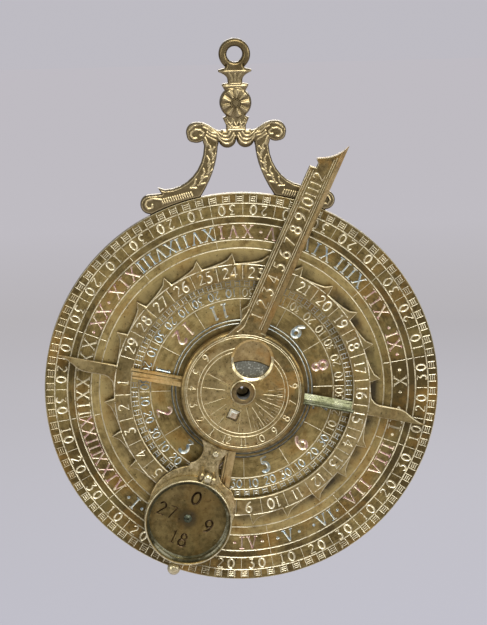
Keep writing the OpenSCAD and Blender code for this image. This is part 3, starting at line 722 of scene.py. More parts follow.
# Each brass: its dark, middle and light tones, gloss, the size of its patches, and what sets it apart
PLATE_BRASS = aged_brass(
    "plate_brass_aged", (0.096, 0.066, 0.021), (0.25, 0.182, 0.063), (0.485, 0.366, 0.14), 0.36, 120, 0.22,
    PLATE_PAINTED_LIGHT, PLATE_BANDS, warm=0.65, dirt_and_shade=PLATE_DIRT_AND_SHADE)
BACK_BRASS = aged_brass(
    "back_brass_plain", (0.12, 0.088, 0.035), (0.25, 0.188, 0.076), (0.42, 0.33, 0.145), 0.36, 60, 0.3,
    warm=0.6)
RING_BRASS = aged_brass(
    "ring_brass_aged", (0.12, 0.087, 0.033), (0.237, 0.176, 0.07), (0.382, 0.295, 0.127), 0.36, 150, 0.16,
    RING_PAINTED_LIGHT)
HUB_BRASS = aged_brass(
    "hub_brass_orange", (0.24, 0.16, 0.062), (0.41, 0.295, 0.125), (0.55, 0.42, 0.2), 0.36, 200, warm=0.7)
RULE_BRASS = aged_brass(
    "rule_brass_aged", (0.13, 0.092, 0.033), (0.27, 0.196, 0.078), (0.45, 0.345, 0.15), 0.34, 150, 0.0,
    RULE_PAINTED_LIGHT, RULE_BANDS, stain=0.75, warm=0.85, pitted=0.025)
# Bright brass for worn edges and small rubbed pieces, also a painted highlight on the window's lower edge
WEAR_AND_HIGHLIGHT_BRASS = aged_brass(
    "worn_brass_bright", (0.26, 0.215, 0.11), (0.54, 0.47, 0.28), (0.8, 0.72, 0.48), 0.28, 220, warm=0.15)
EYELET_BRASS = aged_brass(
    "eyelet_brass_brown", (0.1, 0.07, 0.03), (0.2, 0.145, 0.066), (0.34, 0.26, 0.13), 0.34, 300)
# Golden and pale brass that paint a warm and a pale reflection on the spokes and the window's edge
WARM_REFLECTION_BRASS = aged_brass(
    "spoke_brass_golden", (0.36, 0.24, 0.085), (0.56, 0.395, 0.15), (0.74, 0.57, 0.27), 0.34, 300)
PALE_REFLECTION_BRASS = aged_brass(
    "spoke_brass_pale", (0.13, 0.135, 0.06), (0.36, 0.37, 0.2), (0.72, 0.72, 0.48), 0.3, 420, warm=0.1)
BRACKET_BRASS = aged_brass(
    "bracket_brass_soft", (0.125, 0.093, 0.04), (0.385, 0.298, 0.143), (0.72, 0.6, 0.36), 0.34, 300, stain=0.8)
BOWL_BRASS = aged_brass(
    "bowl_brass_dark", (0.07, 0.051, 0.017), (0.15, 0.108, 0.038), (0.25, 0.184, 0.068), 0.42, 170, 0.1,
    None, BOWL_BANDS, dirt_and_shade=BOWL_GRIME, centre=BOWL_CENTRE)
BOWL_GREEN = aged_brass(
    "bowl_wall_green", (0.045, 0.042, 0.02), (0.125, 0.113, 0.056), (0.4, 0.38, 0.24), 0.3, 320, 0.0,
    WALL_PAINTED_LIGHT, warm=0.1, centre=BOWL_CENTRE)
POST_GREEN = aged_brass(
    "post_metal_green", (0.03, 0.034, 0.021), (0.08, 0.09, 0.06), (0.2, 0.22, 0.15), 0.45, 900, warm=0.1)
STUD_BRASS = aged_brass(
    "stud_brass_rosy", (0.27, 0.19, 0.11), (0.54, 0.43, 0.28), (0.74, 0.64, 0.47), 0.25, 700, warm=0.1)
# Dark brass that paints shade on the bracket's walls and in the grooves of the plate's back
PAINTED_SHADE_BRASS = aged_brass(
    "shade_brass_dirty", (0.025, 0.019, 0.01), (0.06, 0.046, 0.024), (0.12, 0.094, 0.05), 0.5, 300)
# Painted shade deep inside the sight tube
TUBE_PAINTED_SHADE = aged_brass(
    "tube_inside_dark", (0.01, 0.008, 0.004), (0.02, 0.015, 0.008), (0.035, 0.026, 0.012), 0.6, 300)
# Painted light on the tube's mouth, pale grey as if lit
TUBE_PAINTED_LIGHT = aged_brass(
    "tube_mouth_grey", (0.24, 0.25, 0.25), (0.42, 0.44, 0.45), (0.6, 0.62, 0.63), 0.4, 400)
CAST_BRASS = chased_brass("cast_brass_chased", (0.125, 0.089, 0.036), (0.5, 0.405, 0.22))
MOON_METAL = stippled_metal("moon_metal_grey", (0.165, 0.163, 0.125), (0.6, 0.6, 0.5))
CUT_BRIGHT = engraved_line("cut_bright", (0.79, 0.72, 0.52), (0.4, 0.32, 0.18), 0.08, 0.5)
CUT_SOFT = engraved_line("cut_soft", (0.57, 0.49, 0.31), (0.36, 0.28, 0.15), 0.1, 0.4)
CUT_PALE = engraved_line("cut_pale", (0.74, 0.72, 0.6), (0.46, 0.52, 0.53), 0.14, 0.3)
CUT_GREY = engraved_line("cut_grey", (0.4, 0.39, 0.31), (0.19, 0.22, 0.21), 0.14, 0.45)
CUT_BLUE = engraved_line("cut_blue", (0.66, 0.63, 0.5), (0.36, 0.44, 0.47), 0.16, 0.35)
CUT_RED = engraved_line("cut_red", (0.72, 0.63, 0.45), (0.5, 0.3, 0.28), 0.16, 0.35)
CUT_WARM = engraved_line("cut_warm", (0.72, 0.63, 0.4), (0.46, 0.34, 0.16), 0.1, 0.35)
CUT_DARK = engraved_line("cut_dark", (0.035, 0.023, 0.01), (0.07, 0.045, 0.02), 0.1)
CUT_BROWN = engraved_line("cut_brown", (0.05, 0.03, 0.011), (0.11, 0.068, 0.026), 0.12)


# The plate

def roman(number):
    tens, ones = divmod(number, 10)
    return "X" * tens + ["", "I", "II", "III", "IV", "V", "VI", "VII", "VIII", "IX"][ones]


def degree_scale(burin):
    """The hatched ring at the rim: a ladder every four degrees, rubbed soft on the left."""
    rungs = ((0.22, 0.5, 0.78), (0.3, 1.7), 0.29)
    for first, count, finish in ((SCALE_START + 200, 75, CUT_BRIGHT), (SCALE_START + 140, 15, CUT_SOFT)):
        burin.ladders(DEGREE_R + 0.22, PLATE_R - 0.4, 4, 0.32, rungs, count, first, finish)


def hour_rings(burin):
    """Numbers of degrees, and the hours in Roman numbers."""
    number_r = (DEGREE_R + NUMBER_R) / 2
    hour_r = (BAND_R + HOUR_R) / 2
    for r0, r1 in ((BAND_R, NUMBER_R), (HOUR_R, BAND_R), (FIELD_R, HOUR_R)):
        burin.rays(r0 + MARGIN, r1 - MARGIN, 0.2, 12, 30, SCALE_START, CUT_BRIGHT)
    burin.rays(NUMBER_R + MARGIN, DEGREE_R - MARGIN, 0.18, 36, 10, SCALE_START, CUT_BRIGHT)
    for ten in range(36):
        text = ("10", "20", "30")[ten % 3]
        burin.write_round(text, 2.2, number_r, SCALE_START + 10 * ten + 5, CUT_BRIGHT, weight=0.17, gap=0.45)
    tones = (CUT_RED, CUT_BLUE, CUT_RED, CUT_BLUE, CUT_RED, CUT_BRIGHT)
    for hour in range(24):
        text = roman((hour + 10) % 24 + 1)
        text = "*" + text + "*" if len(text) < 3 else text
        gap = min(0.5, max(0.12, 0.62 - 0.1 * len(text)))
        burin.write_round(text, 2.8, hour_r, SCALE_START + 15 * hour + 7.5, tones[hour // 2 % 6],
                          weight=0.19, gap=gap)


def month_scale(burin):
    """Days and months inside the lunar ring, counted round the year."""
    first_month, bright_months = 150, range(6, 10)
    day_r = (DAY_R + MONTH_R) / 2
    month_r = (MONTH_R + MONTH_IN_R) / 2
    rungs = ((0.28, 0.68), (0.45, 2.05), 0.24)
    burin.ladders(DAY_R + 0.22, RING_R - 0.1, 5, 0.26, rungs, 72, 0, CUT_PALE)
    for r0, r1 in ((MONTH_R, DAY_R), (MONTH_IN_R, MONTH_R)):
        burin.rays(r0 + MARGIN, r1 - MARGIN, 0.22, 12, 30, 0, CUT_BRIGHT)
    for month in range(12):
        start = first_month + 30 * month
        day_tone = CUT_BRIGHT if month in bright_months else CUT_BLUE
        month_tone = (CUT_BLUE, CUT_RED)[month % 2]
        for step, text in enumerate(("10", "20", "30")):
            burin.write_round(text, 1.85, day_r, start + 10 * step + 5.4, day_tone, weight=0.17)
        burin.write_round(str(month + 1), 3.3, month_r, start + 15, month_tone, weight=0.24, gap=0.3)


def make_plate():
    """The plate turned with its circles, then engraved."""
    front, back = 0.0, back_of("base_plate")
    edge, deep = 0.16, 0.12
    bore, head_r, head_h = 2.12, 3.22, 0.7
    profile = [(bore, back + head_h), (bore, front)]
    rows = {}
    for r in (MONTH_IN_R - 0.8, MONTH_IN_R, MONTH_R, DAY_R, FIELD_R, HOUR_R, BAND_R, NUMBER_R, DEGREE_R):
        half, finish = (0.17, CUT_GREY) if r <= MONTH_IN_R else (0.135, CUT_BRIGHT)
        rows[len(profile)] = rows[len(profile) + 1] = finish
        profile += [(r - half, front), (r, front - deep), (r + half, front)]
    rim = len(profile)
    rows.update({rim: WEAR_AND_HIGHLIGHT_BRASS, rim + 1: EYELET_BRASS, rim + 2: EYELET_BRASS})
    profile += [(PLATE_R - edge, front), (PLATE_R, front - edge), (PLATE_R, back + edge),
                (PLATE_R - edge, back)]
    # The circles on the back are cut in painted shade
    for r in BACK_CIRCLES:
        rows[len(profile)] = rows[len(profile) + 1] = PAINTED_SHADE_BRASS
        profile += [(r + 0.16, back), (r, back + deep), (r - 0.16, back)]
    profile.append((head_r, back))
    mesh = turned("plate", profile, PLATE_BRASS, steps=PLATE_STEPS)

    def pick(face):
        row = face.index // PLATE_STEPS
        return rows.get(row, BACK_BRASS if row > rim + 2 else PLATE_BRASS)

    finish_faces(mesh, (CUT_BRIGHT, CUT_GREY, EYELET_BRASS, WEAR_AND_HIGHLIGHT_BRASS, BACK_BRASS, PAINTED_SHADE_BRASS), pick)
    burin = Burin(front)
    degree_scale(burin)
    hour_rings(burin)
    month_scale(burin)
    piece("plate_engraved", burin.cut(mesh), "plate", "base_plate")


# The lunar ring

def make_ring():
    """The toothed ring with the days of the moon, its spokes and its hub."""
    top = front_of("lunar_ring")
    burin = Burin(top)
    middle = (RING_R + TOOTH_ROOT_R) / 2
    day, hour = 360 / 29.5, 360 / 24
    burin.rays(RING_R + 0.3, TOOTH_ROOT_R - 0.35, 0.2, 29, day, POINTER_ANGLE + day, CUT_BRIGHT)
    for number in range(1, 30):
        angle = POINTER_ANGLE + day * (number - 0.5)
        burin.write_round(str(number), 2.4, middle, angle, CUT_BRIGHT, inward=False)
    arc = [polar(TOOTH_ROOT_R - 0.1, a) for a in (0.4, hour / 4, hour / 2, 3 * hour / 4, hour - 0.4)]
    burin.marks(arc, 0.22, 24, hour, POINTER_ANGLE, CUT_BRIGHT, 1)
    mesh = ease_front(copy_of("lunar_ring", RING_BRASS), top, 0.2, worn=CUT_WARM)

    def pick(face):
        spot = flat(face.center)
        if not faces_reader(face):
            # Painted shade on the teeth's side walls
            return EYELET_BRASS if abs(face.normal.y) < 0.2 and spot.length > RING_R else None
        if spot.length < HUB_R:
            return HUB_BRASS
        if HUB_R + 0.05 < spot.length < RING_R - 0.3:
            # The left spoke carries a painted warm reflection, the right spoke a painted pale one
            return PALE_REFLECTION_BRASS if spot.x > HUB_R else WARM_REFLECTION_BRASS if spot.x < -HUB_R else HUB_BRASS

    finish_faces(mesh, (WARM_REFLECTION_BRASS, PALE_REFLECTION_BRASS, HUB_BRASS, EYELET_BRASS), pick)
    piece("lunar_ring_engraved", burin.cut(mesh), "ring", "lunar_ring")


# The rule

def make_rule():
    """The disc with its hours and the moon window, and the numbered arm."""
    top = front_of("rule")
    burin = Burin(top)
    along = polar(1, ARM_ANGLE)
    across = Vector((-along.y, along.x))
    on_arm = lambda r, w: along * r + across * w
    for w, r0, r1 in ((6.3, 18.2, 51.4), (5.75, 14.2, 51.6), (2.45, 14.4, 55.4), (2.0, 14.4, 56.0)):
        burin.line([on_arm(r0, w), on_arm(r1, w)], 0.24, CUT_SOFT)
    # The arm's back lines flare out where it grows from the disc
    for flare in (((18.2, 6.3), (15.9, 6.3), (15.2, 6.5), (11.7, 7.75)),
                  ((14.2, 5.75), (13.6, 5.75), (13.2, 5.9), (11.9, 6.7))):
        burin.line(bezier(*[on_arm(r, w) for r, w in flare]), 0.2, CUT_WARM)
    first_number, pitch, number_w = 17.0, 3.0, 4.1
    for i in range(12):
        spot = first_number + pitch * i
        burin.write(str(i + 1), 2.55, lambda p: on_arm(spot + p.x, number_w + p.y), CUT_SOFT, 0.16)
    for r in (12.95, 12.5, 10.1, 9.35):
        burin.line([polar(r, a) for a in range(0, 360, 3)], 0.17, CUT_WARM, 0, True)
    hours_r, first_hour, hour_step = 11.3, 135, 19.2
    for place, number in enumerate((6, 5, 4, 3, 2, 1, 12, 11, 10, 9, 8, 7, 6)):
        burin.write_round(str(number), 1.65, hours_r, first_hour + hour_step * place, CUT_WARM, weight=0.14)
    # Rays round the sight hole: the angle of each, and where it begins
    ray_end = 9.0
    for angle, r0 in ((196, 4.2), (214, 4.6), (231, 6.9), (262, 4.0), (281, 3.6), (300, 4.0), (318, 3.6),
                      (336, 4.2), (352, 4.6), (150, 4.6), (171, 4.0)):
        burin.line([polar(r0, angle), polar(ray_end, angle)], 0.14, CUT_WARM)
    # Fine division between the rays on the right
    burin.rays(7.7, 9.1, 0.1, 18, 4.5, -73, CUT_SOFT)
    burin.rays(5.6, 6.9, 0.1, 9, 9, -70, CUT_SOFT)
    # A dark line round the foot of the stud, painted shade where it stands
    stud = [flat(v.co) for v in NODES["bracket_stud"].data.vertices]
    stud = [stud[i] for i in geometry.convex_hull_2d(stud)]
    middle = sum(stud, Vector((0, 0))) / len(stud)
    stud = [p for p, q in zip(stud, stud[1:] + stud[:1]) if (p - q).length > 0.3]
    burin.line([middle + (p - middle) * 1.05 for p in stud], 0.13, CUT_DARK, 1, True)
    mesh = ease_front(copy_of("rule", RULE_BRASS), top, 0.15, worn=WEAR_AND_HIGHLIGHT_BRASS)
    window, window_r = polar(7.5, ARM_ANGLE + 7.5), 4.8

    def pick(face):
        spot = flat(face.center)
        if not faces_reader(face):
            return None
        # The arm's bevel, in orange brass as a painted warm reflection
        if spot.dot(along) > DISC_R + 0.5 and face.normal.dot(at(*across).normalized()) < -0.3:
            return HUB_BRASS
        # The window's edge: a painted highlight on the lower half, which looks up, and a painted warm
        # reflection on the upper half
        if (spot - window).length < window_r and face.normal.y > -0.95:
            return WEAR_AND_HIGHLIGHT_BRASS if spot.y < window.y + 0.6 else WARM_REFLECTION_BRASS

    finish_faces(mesh, (HUB_BRASS, WARM_REFLECTION_BRASS), pick)
    piece("rule_engraved", burin.cut(mesh), "pointer_rule", "rule")


# The throne

def level_loops(mesh, h):
    """Closed outlines of a mesh's flat face at one height, in dial millimetres."""
    with edited(mesh) as bm:
        border = border_loops(level_faces(bm, h))
        following = {loop.vert.index: loop.link_loop_next.vert.index for loop in border}
        spots = [flat(v.co) for v in bm.verts]
    loops = []
    while following:
        start, here = following.popitem()
        loop = [spots[start]]
        while here != start:
            loop.append(spots[here])
            here = following.pop(here)
        loops.append(loop)
    return sorted(loops, key=len, reverse=True)


def resample(loop, gap):
    points = []
    for a, b in zip(loop, loop[1:] + loop[:1]):
        parts = max(1, round((b - a).length / gap))
        points += [a.lerp(b, i / parts) for i in range(parts)]
    return points


def inside_loops(x, y, loops):
    """Which points of two arrays lie inside an outline and outside its holes."""
    odd = numpy.zeros(x.shape, bool)
    for loop in loops:
        for a, b in zip(loop, loop[1:] + loop[:1]):
            if a.y == b.y:
                continue
            spans = (a.y > y) != (b.y > y)
            odd ^= spans & (x < (b.x - a.x) * (y - a.y) / (b.y - a.y) + a.x)
    return odd


def distance_to(points):
    """A function that gives the distance from a flat place to the nearest of some points."""
    tree = kdtree.KDTree(len(points))
    for i, p in enumerate(points):
        tree.insert((*p, 0), i)
    tree.balance()
    return lambda p: tree.find((*p, 0))[2]


def filled(points, edges, hole, hole_r):
    """Outlines filled with triangles outside a round hole: spots, triangles and each point's new index."""
    spots, _, faces, sources, _, _ = geometry.delaunay_2d_cdt(points, edges, [], 1, 1e-5)
    place = {source: i for i, group in enumerate(sources) for source in group}
    middle = lambda face: (spots[face[0]] + spots[face[1]] + spots[face[2]]) / 3
    return spots, [list(face) for face in faces if (middle(face) - hole).length >= hole_r], place


def chased_lines():
    """Ridges of the throne's right half, from the middle line and the plate's rim, in millimetres."""
    # The scroll's curl and crest, and the folds of its neck
    strokes = [
        [(8.8, 12.35), (9.5, 12.3), (10.0, 12.9), (9.8, 13.7), (9.0, 14.2), (7.9, 14.1), (7.2, 13.5),
         (7.35, 12.9), (8.0, 12.9)],
        [(3.4, 13.9), (4.6, 14.1), (5.6, 14.7), (6.6, 15.2), (7.9, 15.4), (9.3, 15.1), (10.3, 14.2)],
        [(4.4, 13.3), (5.4, 13.5), (6.3, 14.3), (7.2, 14.7)], [(4.5, 12.6), (5.5, 12.9), (6.4, 13.6)],
        [(4.6, 11.7), (5.6, 12.3), (6.6, 12.9)], [(6.5, 10.6), (6.6, 11.6), (6.9, 12.4)]]
    # The swag
    for left, dip, right in (((0.35, 12.7), 10.75, (4.0, 12.5)), ((0.6, 13.2), 11.7, (4.2, 13.2)),
                             ((1.3, 13.5), 12.6, (3.9, 13.7))):
        strokes.append(bezier(left, (left[0] + 0.5, dip - 0.4), (right[0] - 0.9, dip - 0.3), right, 7))
    # Leaves on both sides of a spine down the leg
    spine = [(5.45, 10.9), (5.5, 9.3), (5.6, 7.7), (6.0, 6.2), (6.7, 4.7), (7.6, 3.4), (8.8, 2.2), (10.2, 1.2)]
    spine = [Vector(q) for q in spine]
    for k in range(len(spine) - 1):
        on = (spine[k + 1] - spine[k]).normalized()
        side = Vector((-on.y, on.x))
        for way, lag, long, bend in ((1, 0.0, 1.5, 0.15), (-1, 0.6, 1.1 + 0.3 * (k % 2), 0.4)):
            root = spine[k] + on * (lag + 1.2) + side * 0.25 * (-1) ** k
            strokes.append([root, root - on * 0.55 * long + side * way * bend,
                            root - on * long + side * way * 0.8])
    # The foot's flutes and its curl
    for k in range(14):
        x, y = 10.0 + 0.5 * k, 0.15 - 0.11 * k
        strokes.append([(x, y - 0.6), (x + 0.35, y + 0.25)])
    strokes.append([(17.0, -1.0), (18.6, -0.75), (20.0, -1.2), (20.4, -2.2), (19.8, -3.0), (18.9, -2.8),
                    (18.9, -2.1)])
    # The leaf cup and the collar
    strokes += [[(0, 13.95), (2.7, 13.95)], [(0, 14.45), (2.0, 14.45)], [(0.0, 14.8), (0.75, 16.3)],
                [(0.9, 14.7), (1.9, 16.0)], [(1.5, 14.7), (2.5, 15.7)], [(0.75, 16.3), (1.0, 15.2)],
                [(0, 23.55), (2.7, 23.55)], [(0, 24.0), (2.5, 24.0)], [(0.7, 24.5), (0.75, 25.5), (1.3, 26.3)],
                [(0, 26.75), (3.3, 26.75)], [(0, 24.6), (0.0, 26.2)]]
    return [[Vector(p) for p in points] for points in strokes]


def make_throne():
    """The cast throne: rounded edges, chased leaves and a rosette, with a flat back."""
    front, back = -0.1, back_of("throne")
    gap, ridge_w, edge_w, edge_drop = 0.14, 0.23, 0.7, 0.55
    rose, rose_r, boss_r, bud_r, petals = Vector((0, 19.9 + PLATE_R)), 3.5, 1.1, 0.7, 9
    eye, eye_r, eye_edge = Vector((0, 30.5 + PLATE_R)), 3.45, 0.6
    # Heights where the scrolls and the leaf cup end
    scrolls_top, cup_top = PLATE_R + 13.6, PLATE_R + 15.6
    loops = level_loops(copy_of("throne", CAST_BRASS), back)[:2]
    # The back shows the eye inside its chamfer; the outline follows the eye's full width
    loops[0] = [eye + (p - eye).normalized() * eye_r if (p - eye).length < eye_r - eye_edge + 0.05 else p
                for p in loops[0]]
    rims = [resample(loop, gap) for loop in loops]
    border = [p for rim in rims for p in rim]
    from_edge = distance_to(border)
    ridges = []
    for points in chased_lines():
        for a, b in zip(points, points[1:]):
            parts = max(1, int((b - a).length / 0.06))
            for i in range(parts + 1):
                p = a.lerp(b, i / parts)
                ridges += [(p.x, p.y + PLATE_R), (-p.x, p.y + PLATE_R)]
    from_ridge = distance_to(ridges)

    low = [min(p[k] for p in border) for k in range(2)]
    high = [max(p[k] for p in border) for k in range(2)]
    across, up = numpy.meshgrid(numpy.arange(low[0], high[0], gap), numpy.arange(low[1], high[1], gap * 0.87))
    across[1::2] += gap / 2
    keep = inside_loops(across, up, loops)
    grid = [Vector(p) for p in zip(across[keep], up[keep])]
    grid = [p for p in grid if from_edge(p) > gap * 0.6]

    def relief(p):
        """Height and brightness of the casting at a place."""
        off = from_edge(p)
        ridge = max(0.0, 1 - (from_ridge(p) / ridge_w) ** 2)
        round_edge = max(0.0, 1 - off / edge_w)
        h = front - edge_drop * round_edge ** 2 + (0.22 if p.y < cup_top else 0.12) * ridge
        out = p - rose
        r = out.length
        if r < rose_r:
            rays = math.cos(petals * math.atan2(out.y, out.x))
            blend = min(1.0, (rose_r - r) / 0.5)
            petal = 0.5 * math.sqrt(1 - (r / rose_r) ** 2)
            petal += 0.2 * rays if r > boss_r else -0.35 + 0.4 * (r < bud_r)
            h = (1 - blend) * h + blend * (front + 0.1 + petal)
            ridge = max(0.0, rays) * (boss_r < r < rose_r - 0.4)
        elif off > 0.12 and p.y < rose.y and (abs(p.x) > 4.2 or p.y > scrolls_top):
            border_line = max(0.0, 1 - ((off - 0.34) / 0.17) ** 2)
            h += 0.1 * border_line
            ridge = max(ridge, 0.6 * border_line)
        if p.y > cup_top:
            ridge = 0.1 + 0.45 * ridge
        if (p - eye).length < eye_r + 0.15:
            ridge = -0.05
        return h, ridge

    edges, start = [], 0
    for rim in rims:
        edges += [(start + i, start + (i + 1) % len(rim)) for i in range(len(rim))]
        start += len(rim)
    hole_r = (loops[1][0] - eye).length * 0.98
    spots, faces, place = filled(border + grid, edges, eye, hole_r)
    back_spots, back_faces, back_place = filled(border, edges, eye, hole_r)
    shape = [relief(p) for p in spots]
    base = len(spots)
    verts = [at(*p, h) for p, (h, _) in zip(spots, shape)] + [at(*p, back) for p in back_spots]
    tone = [ridge for _, ridge in shape] + [0.2] * len(back_spots)
    faces += [[base + i for i in face] for face in back_faces]
    faces += [[place[a], place[b], base + back_place[b], base + back_place[a]] for a, b in edges]
    mesh = new_mesh("throne", verts, faces, [CAST_BRASS])
    mesh.attributes.new("ridge", "FLOAT", "POINT").data.foreach_set("value", tone)
    piece("throne_chased", mesh, "plate", "throne", 50.0)


# Turned and filed small pieces

def make_eyelet():
    """The sight tube with its flared lip, and the collet under it."""
    lip, foot, back = front_of("sight_tube"), front_of("front_collet"), back_of("sight_tube")
    tube, wall, flange = 1.5, 2.1, 2.45
    peep, step = 0.35, back + 1.2
    profile = [(peep, back), (3.2, back), (wall, back + 0.7), (wall, foot), (flange, foot),
               (flange - 0.04, foot + 0.14), (wall + 0.18, lip - 0.08), (wall - 0.1, lip),
               (wall - 0.35, lip - 0.03), (tube + 0.05, lip - 0.14), (tube, lip - 0.3), (tube, lip - 4.2),
               (tube, step), (peep, step)]
    mesh = turned("tube", profile, EYELET_BRASS)
    mouth = len(profile) - 4
    # The mouth painted as lit, the depths painted as shade
    inside = {mouth: TUBE_PAINTED_LIGHT, mouth + 1: TUBE_PAINTED_SHADE, mouth + 3: TUBE_PAINTED_SHADE}
    finish_faces(mesh, (TUBE_PAINTED_LIGHT, TUBE_PAINTED_SHADE), lambda face: inside.get(face.index // LATHE_STEPS))
    piece("sight_tube_turned", mesh, "plate", "sight_tube", 30)
    low, bore, r = foot - 0.55, wall + 0.02, 2.85
    profile = [(bore, low), (r, low), (r, low + 0.2), (r - 0.07, low + 0.4), (r - 0.25, foot), (bore, foot)]
    collet = turned("collet", profile, EYELET_BRASS)
    rubbed = {2: WEAR_AND_HIGHLIGHT_BRASS, 3: WEAR_AND_HIGHLIGHT_BRASS}
    finish_faces(collet, (WEAR_AND_HIGHLIGHT_BRASS,), lambda face: rubbed.get(face.index // LATHE_STEPS))
    piece("collet_turned", collet, "plate", "front_collet", 30)


def make_bracket():
    """The bracket with its waist filed hollow beside the spoke."""
    top, bottom = front_of("compass_bracket") + 1, back_of("compass_bracket") - 1
    r, centre = 4.9, (-0.95, -18.1)
    hollow = turned("hollow", [(0, bottom), (r, bottom), (r, top), (0, top)], PAINTED_SHADE_BRASS, centre, 96)
    bracket = carve(copy_of("compass_bracket", BRACKET_BRASS), hollow)
    bracket = ease_front(bracket, front_of("compass_bracket"), 0.3, 3)
    # Painted shade on the bracket's side walls
    finish_faces(bracket, (), lambda face: PAINTED_SHADE_BRASS if abs(face.normal.y) < 0.2 else BRACKET_BRASS)
    piece("bracket_cast", bracket, "pointer_rule", "compass_bracket", 40)


def make_bowl():
    """The compass bowl, bright on its rim, with four numbers in its floor."""
    low, high = BOWL_BOX
    r, base, rim = (high.x - low.x) / 2 / MM, -high.y / MM, -low.y / MM
    floor_h, inner = base + 0.6, r - 0.55
    profile = [(0, base), (r - 0.3, base), (r, base + 0.3), (r, rim - 0.16), (r - 0.08, rim - 0.04),
               (r - 0.16, rim), (r - 0.28, rim), (inner + 0.1, rim - 0.1), (inner, rim - 0.3),
               (inner, floor_h + 0.5), (inner - 0.15, floor_h + 0.15), (inner - 0.5, floor_h), (0, floor_h)]
    bowl = turned("bowl", profile, BOWL_BRASS, BOWL_CENTRE, BOWL_STEPS)
    rows = {**dict.fromkeys(range(1, 6), WEAR_AND_HIGHLIGHT_BRASS), **dict.fromkeys(range(8, 11), BOWL_GREEN)}
    finish_faces(bowl, (WEAR_AND_HIGHLIGHT_BRASS, BOWL_GREEN), lambda face: rows.get(face.index // BOWL_STEPS))
    burin = Burin(floor_h)
    up = -polar(1, BRACKET_ANGLE)
    right = Vector((up.y, -up.x))
    for text, way in (("0", up), ("9", right), ("18", -up), ("27", -right)):
        middle = BOWL_CENTRE + way * 5.0
        burin.write(text, 3.0, lambda p: middle + right * p.x + up * p.y, CUT_BROWN, 0.17, 0.2)
    piece("compass_bowl_turned", burin.cut(bowl), "compass", "compass_bowl", 30)


def make_filed():
    """The hinge, the stud and the rivet, with their edges broken."""
    for node, body, edge, finish in (
            ("hinge_leaf", "pointer_rule", 0.12, BRACKET_BRASS), ("bowl_knuckle", "compass", 0.1, WEAR_AND_HIGHLIGHT_BRASS),
            ("bracket_stud", "pointer_rule", 0.34, STUD_BRASS),
            ("leaf_rivet", "pointer_rule", 0.1, WEAR_AND_HIGHLIGHT_BRASS)):
        mesh = soften(copy_of(node, finish), edge)
        if node == "bracket_stud":
            # Pale on the sides that look up, a painted highlight
            finish_faces(mesh, (CUT_PALE,), lambda face: CUT_PALE if face.normal.z > 0.08 else None)
        piece(node + "_filed", mesh, body, node, 40)


make_plate()
make_ring()
make_rule()
make_throne()
make_eyelet()
make_bracket()
make_bowl()
make_filed()
for node, finish in {
    "throne_dowels": PLATE_BRASS, "ring_spacer": PLATE_BRASS, "moon_inlay": MOON_METAL, "hinge_pin": WEAR_AND_HIGHLIGHT_BRASS,
    "glass_seat_ring": BOWL_GREEN, "needle_post": POST_GREEN, "compass_knob": WEAR_AND_HIGHLIGHT_BRASS,
}.items():
    NODES[node].data.materials.clear()
    NODES[node].data.materials.append(finish)


# Studio

BACKDROP = (0.513, 0.5, 0.545)
# What the backdrop sheds on the object: a faintly blue light, and its strength
SOFT_LIGHT = ((0.9, 0.9, 0.95), 0.42)
# The floor's glow from far in front of the object to far behind it, by distance: a painted gradient of light,
# darker where the softboxes already light the floor
FLOOR_HALF = 3.0
FLOOR_DROP = 0.09
FLOOR_PAINTED_GLOW = [(-2.97, (0.662, 0.633, 0.678)), (-1.1, (0.63, 0.606, 0.645)), (-0.8, (0.5, 0.492, 0.54)),
               (-0.4, (0.4, 0.397, 0.455)), (0.0, (0.43, 0.427, 0.485)), (0.256, (0.475, 0.472, 0.53)),
               (0.578, (0.465, 0.453, 0.477)), (0.88, (0.567, 0.543, 0.559)), (1.244, (0.65, 0.625, 0.666)),
               (2.97, (0.662, 0.633, 0.678))]
# The share of the floor's look to the eye that is its painted glow; the rest is lit and carries the object's
# shadow
FLOOR_GLOW_SHARE = 0.7
# Softboxes that point at the dial's middle: place, width and height, power
SOFTBOXES = {
    "top_box": ((0.1, -0.4, 0.56), (0.5, 0.35), 5.4),
    "right_box": ((0.56, -0.28, 0.18), (0.2, 0.36), 1.6),
    "left_box": ((-0.56, -0.36, 0.2), (0.3, 0.5), 1.2),
    "low_front_box": ((0.05, -0.95, -0.02), (0.5, 0.1), 0.2),
    "back_box": ((0.12, 0.62, 0.3), (0.5, 0.3), 2.4),
}


def plain_backdrop():
    """The world: pale lilac grey to the eye, a soft even light on the object."""
    world = bpy.data.worlds.new("studio")
    bpy.context.scene.world = world
    made = Shader(world)
    to_eye = made.node("LightPath", {})["Is Camera Ray"]
    soft = made.node("Background", dict(enumerate(SOFT_LIGHT)))[0]
    seen = made.node("Background", {0: BACKDROP})[0]
    both = made.node("MixShader", {0: to_eye, 1: soft, 2: seen})[0]
    made.link(both, made.add("ShaderNodeOutputWorld").inputs[0])


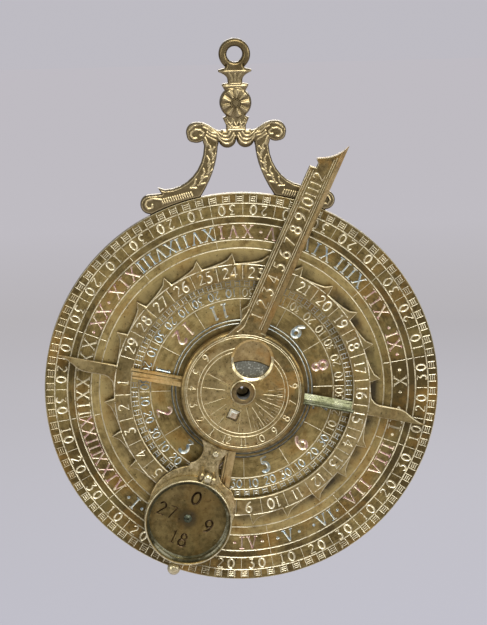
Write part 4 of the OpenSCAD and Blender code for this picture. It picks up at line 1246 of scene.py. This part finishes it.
def floor():
    """A wide plain floor that fades into the backdrop."""
    half, low = FLOOR_HALF, cad_box[0].z - FLOOR_DROP
    made = new_shader("floor_plain")
    to_eye = made.node("LightPath", {})["Is Camera Ray"]
    place = made.node("SeparateXYZ", {0: made.coords})
    tones = [((y + half) / (2 * half), tone) for y, tone in FLOOR_PAINTED_GLOW]
    tone = made.ramp(made.span(place["Y"], -half, half), tones)
    aside = made.span(made.math("ABSOLUTE", place["X"]), 0.5, 1.2)
    seen = made.node("Emission", {0: made.mix(aside, tone, FLOOR_PAINTED_GLOW[-1][1])})[0]
    plain = made.node("BsdfDiffuse", {0: BACKDROP})[0]
    both = made.node("MixShader", {0: made.math("MULTIPLY", to_eye, FLOOR_GLOW_SHARE), 1: plain, 2: seen})[0]
    made.link(both, made.add("ShaderNodeOutputMaterial").inputs[0])
    corners = [(-half, -half, low), (half, -half, low), (half, half, low), (-half, half, low)]
    linked("floor", new_mesh("floor", corners, [(0, 1, 2, 3)], [made.owner]))


def softbox(name, place, size, power):
    lamp = bpy.data.lights.new(name, "AREA")
    lamp.shape = "RECTANGLE"
    lamp.size, lamp.size_y = size
    lamp.energy = power
    made = linked(name, lamp)
    made.location = place
    made.visible_camera = False
    made.rotation_euler = (-Vector(place)).to_track_quat("-Z", "Y").to_euler()


def camera():
    """The photograph's view: from a little above and left, with the dial's middle below the picture's."""
    distance = 0.5395
    elevation, azimuth, roll = math.radians(11.62), math.radians(-2.56), math.radians(1.3)
    focal_px, dial_px, frame_px = 2412.0, (242.12, 388.63), (487, 625)
    level = math.cos(elevation)
    back = Vector((math.sin(azimuth) * level, -math.cos(azimuth) * level, math.sin(elevation)))
    aim_down = math.atan2(dial_px[1] - frame_px[1] / 2, focal_px)
    aim_left = math.atan2(frame_px[0] / 2 - dial_px[0], focal_px)
    turn = back.to_track_quat("Z", "Y").to_matrix() @ Matrix.Rotation(-roll, 3, "Z")
    turn = turn @ Matrix.Rotation(-aim_left, 3, "Y") @ Matrix.Rotation(aim_down, 3, "X")
    data = bpy.data.cameras.new("view")
    data.sensor_width = 36
    data.lens = focal_px * data.sensor_width / frame_px[1]
    data.clip_start, data.clip_end = 0.01, 20
    made = linked("view", data)
    made.matrix_world = Matrix.Translation(back * distance) @ turn.to_4x4()
    bpy.context.scene.camera = made


plain_backdrop()
floor()
for name, (place, size, power) in SOFTBOXES.items():
    softbox(name, place, size, power)
camera()
bpy.context.scene.view_settings.view_transform = "Standard"
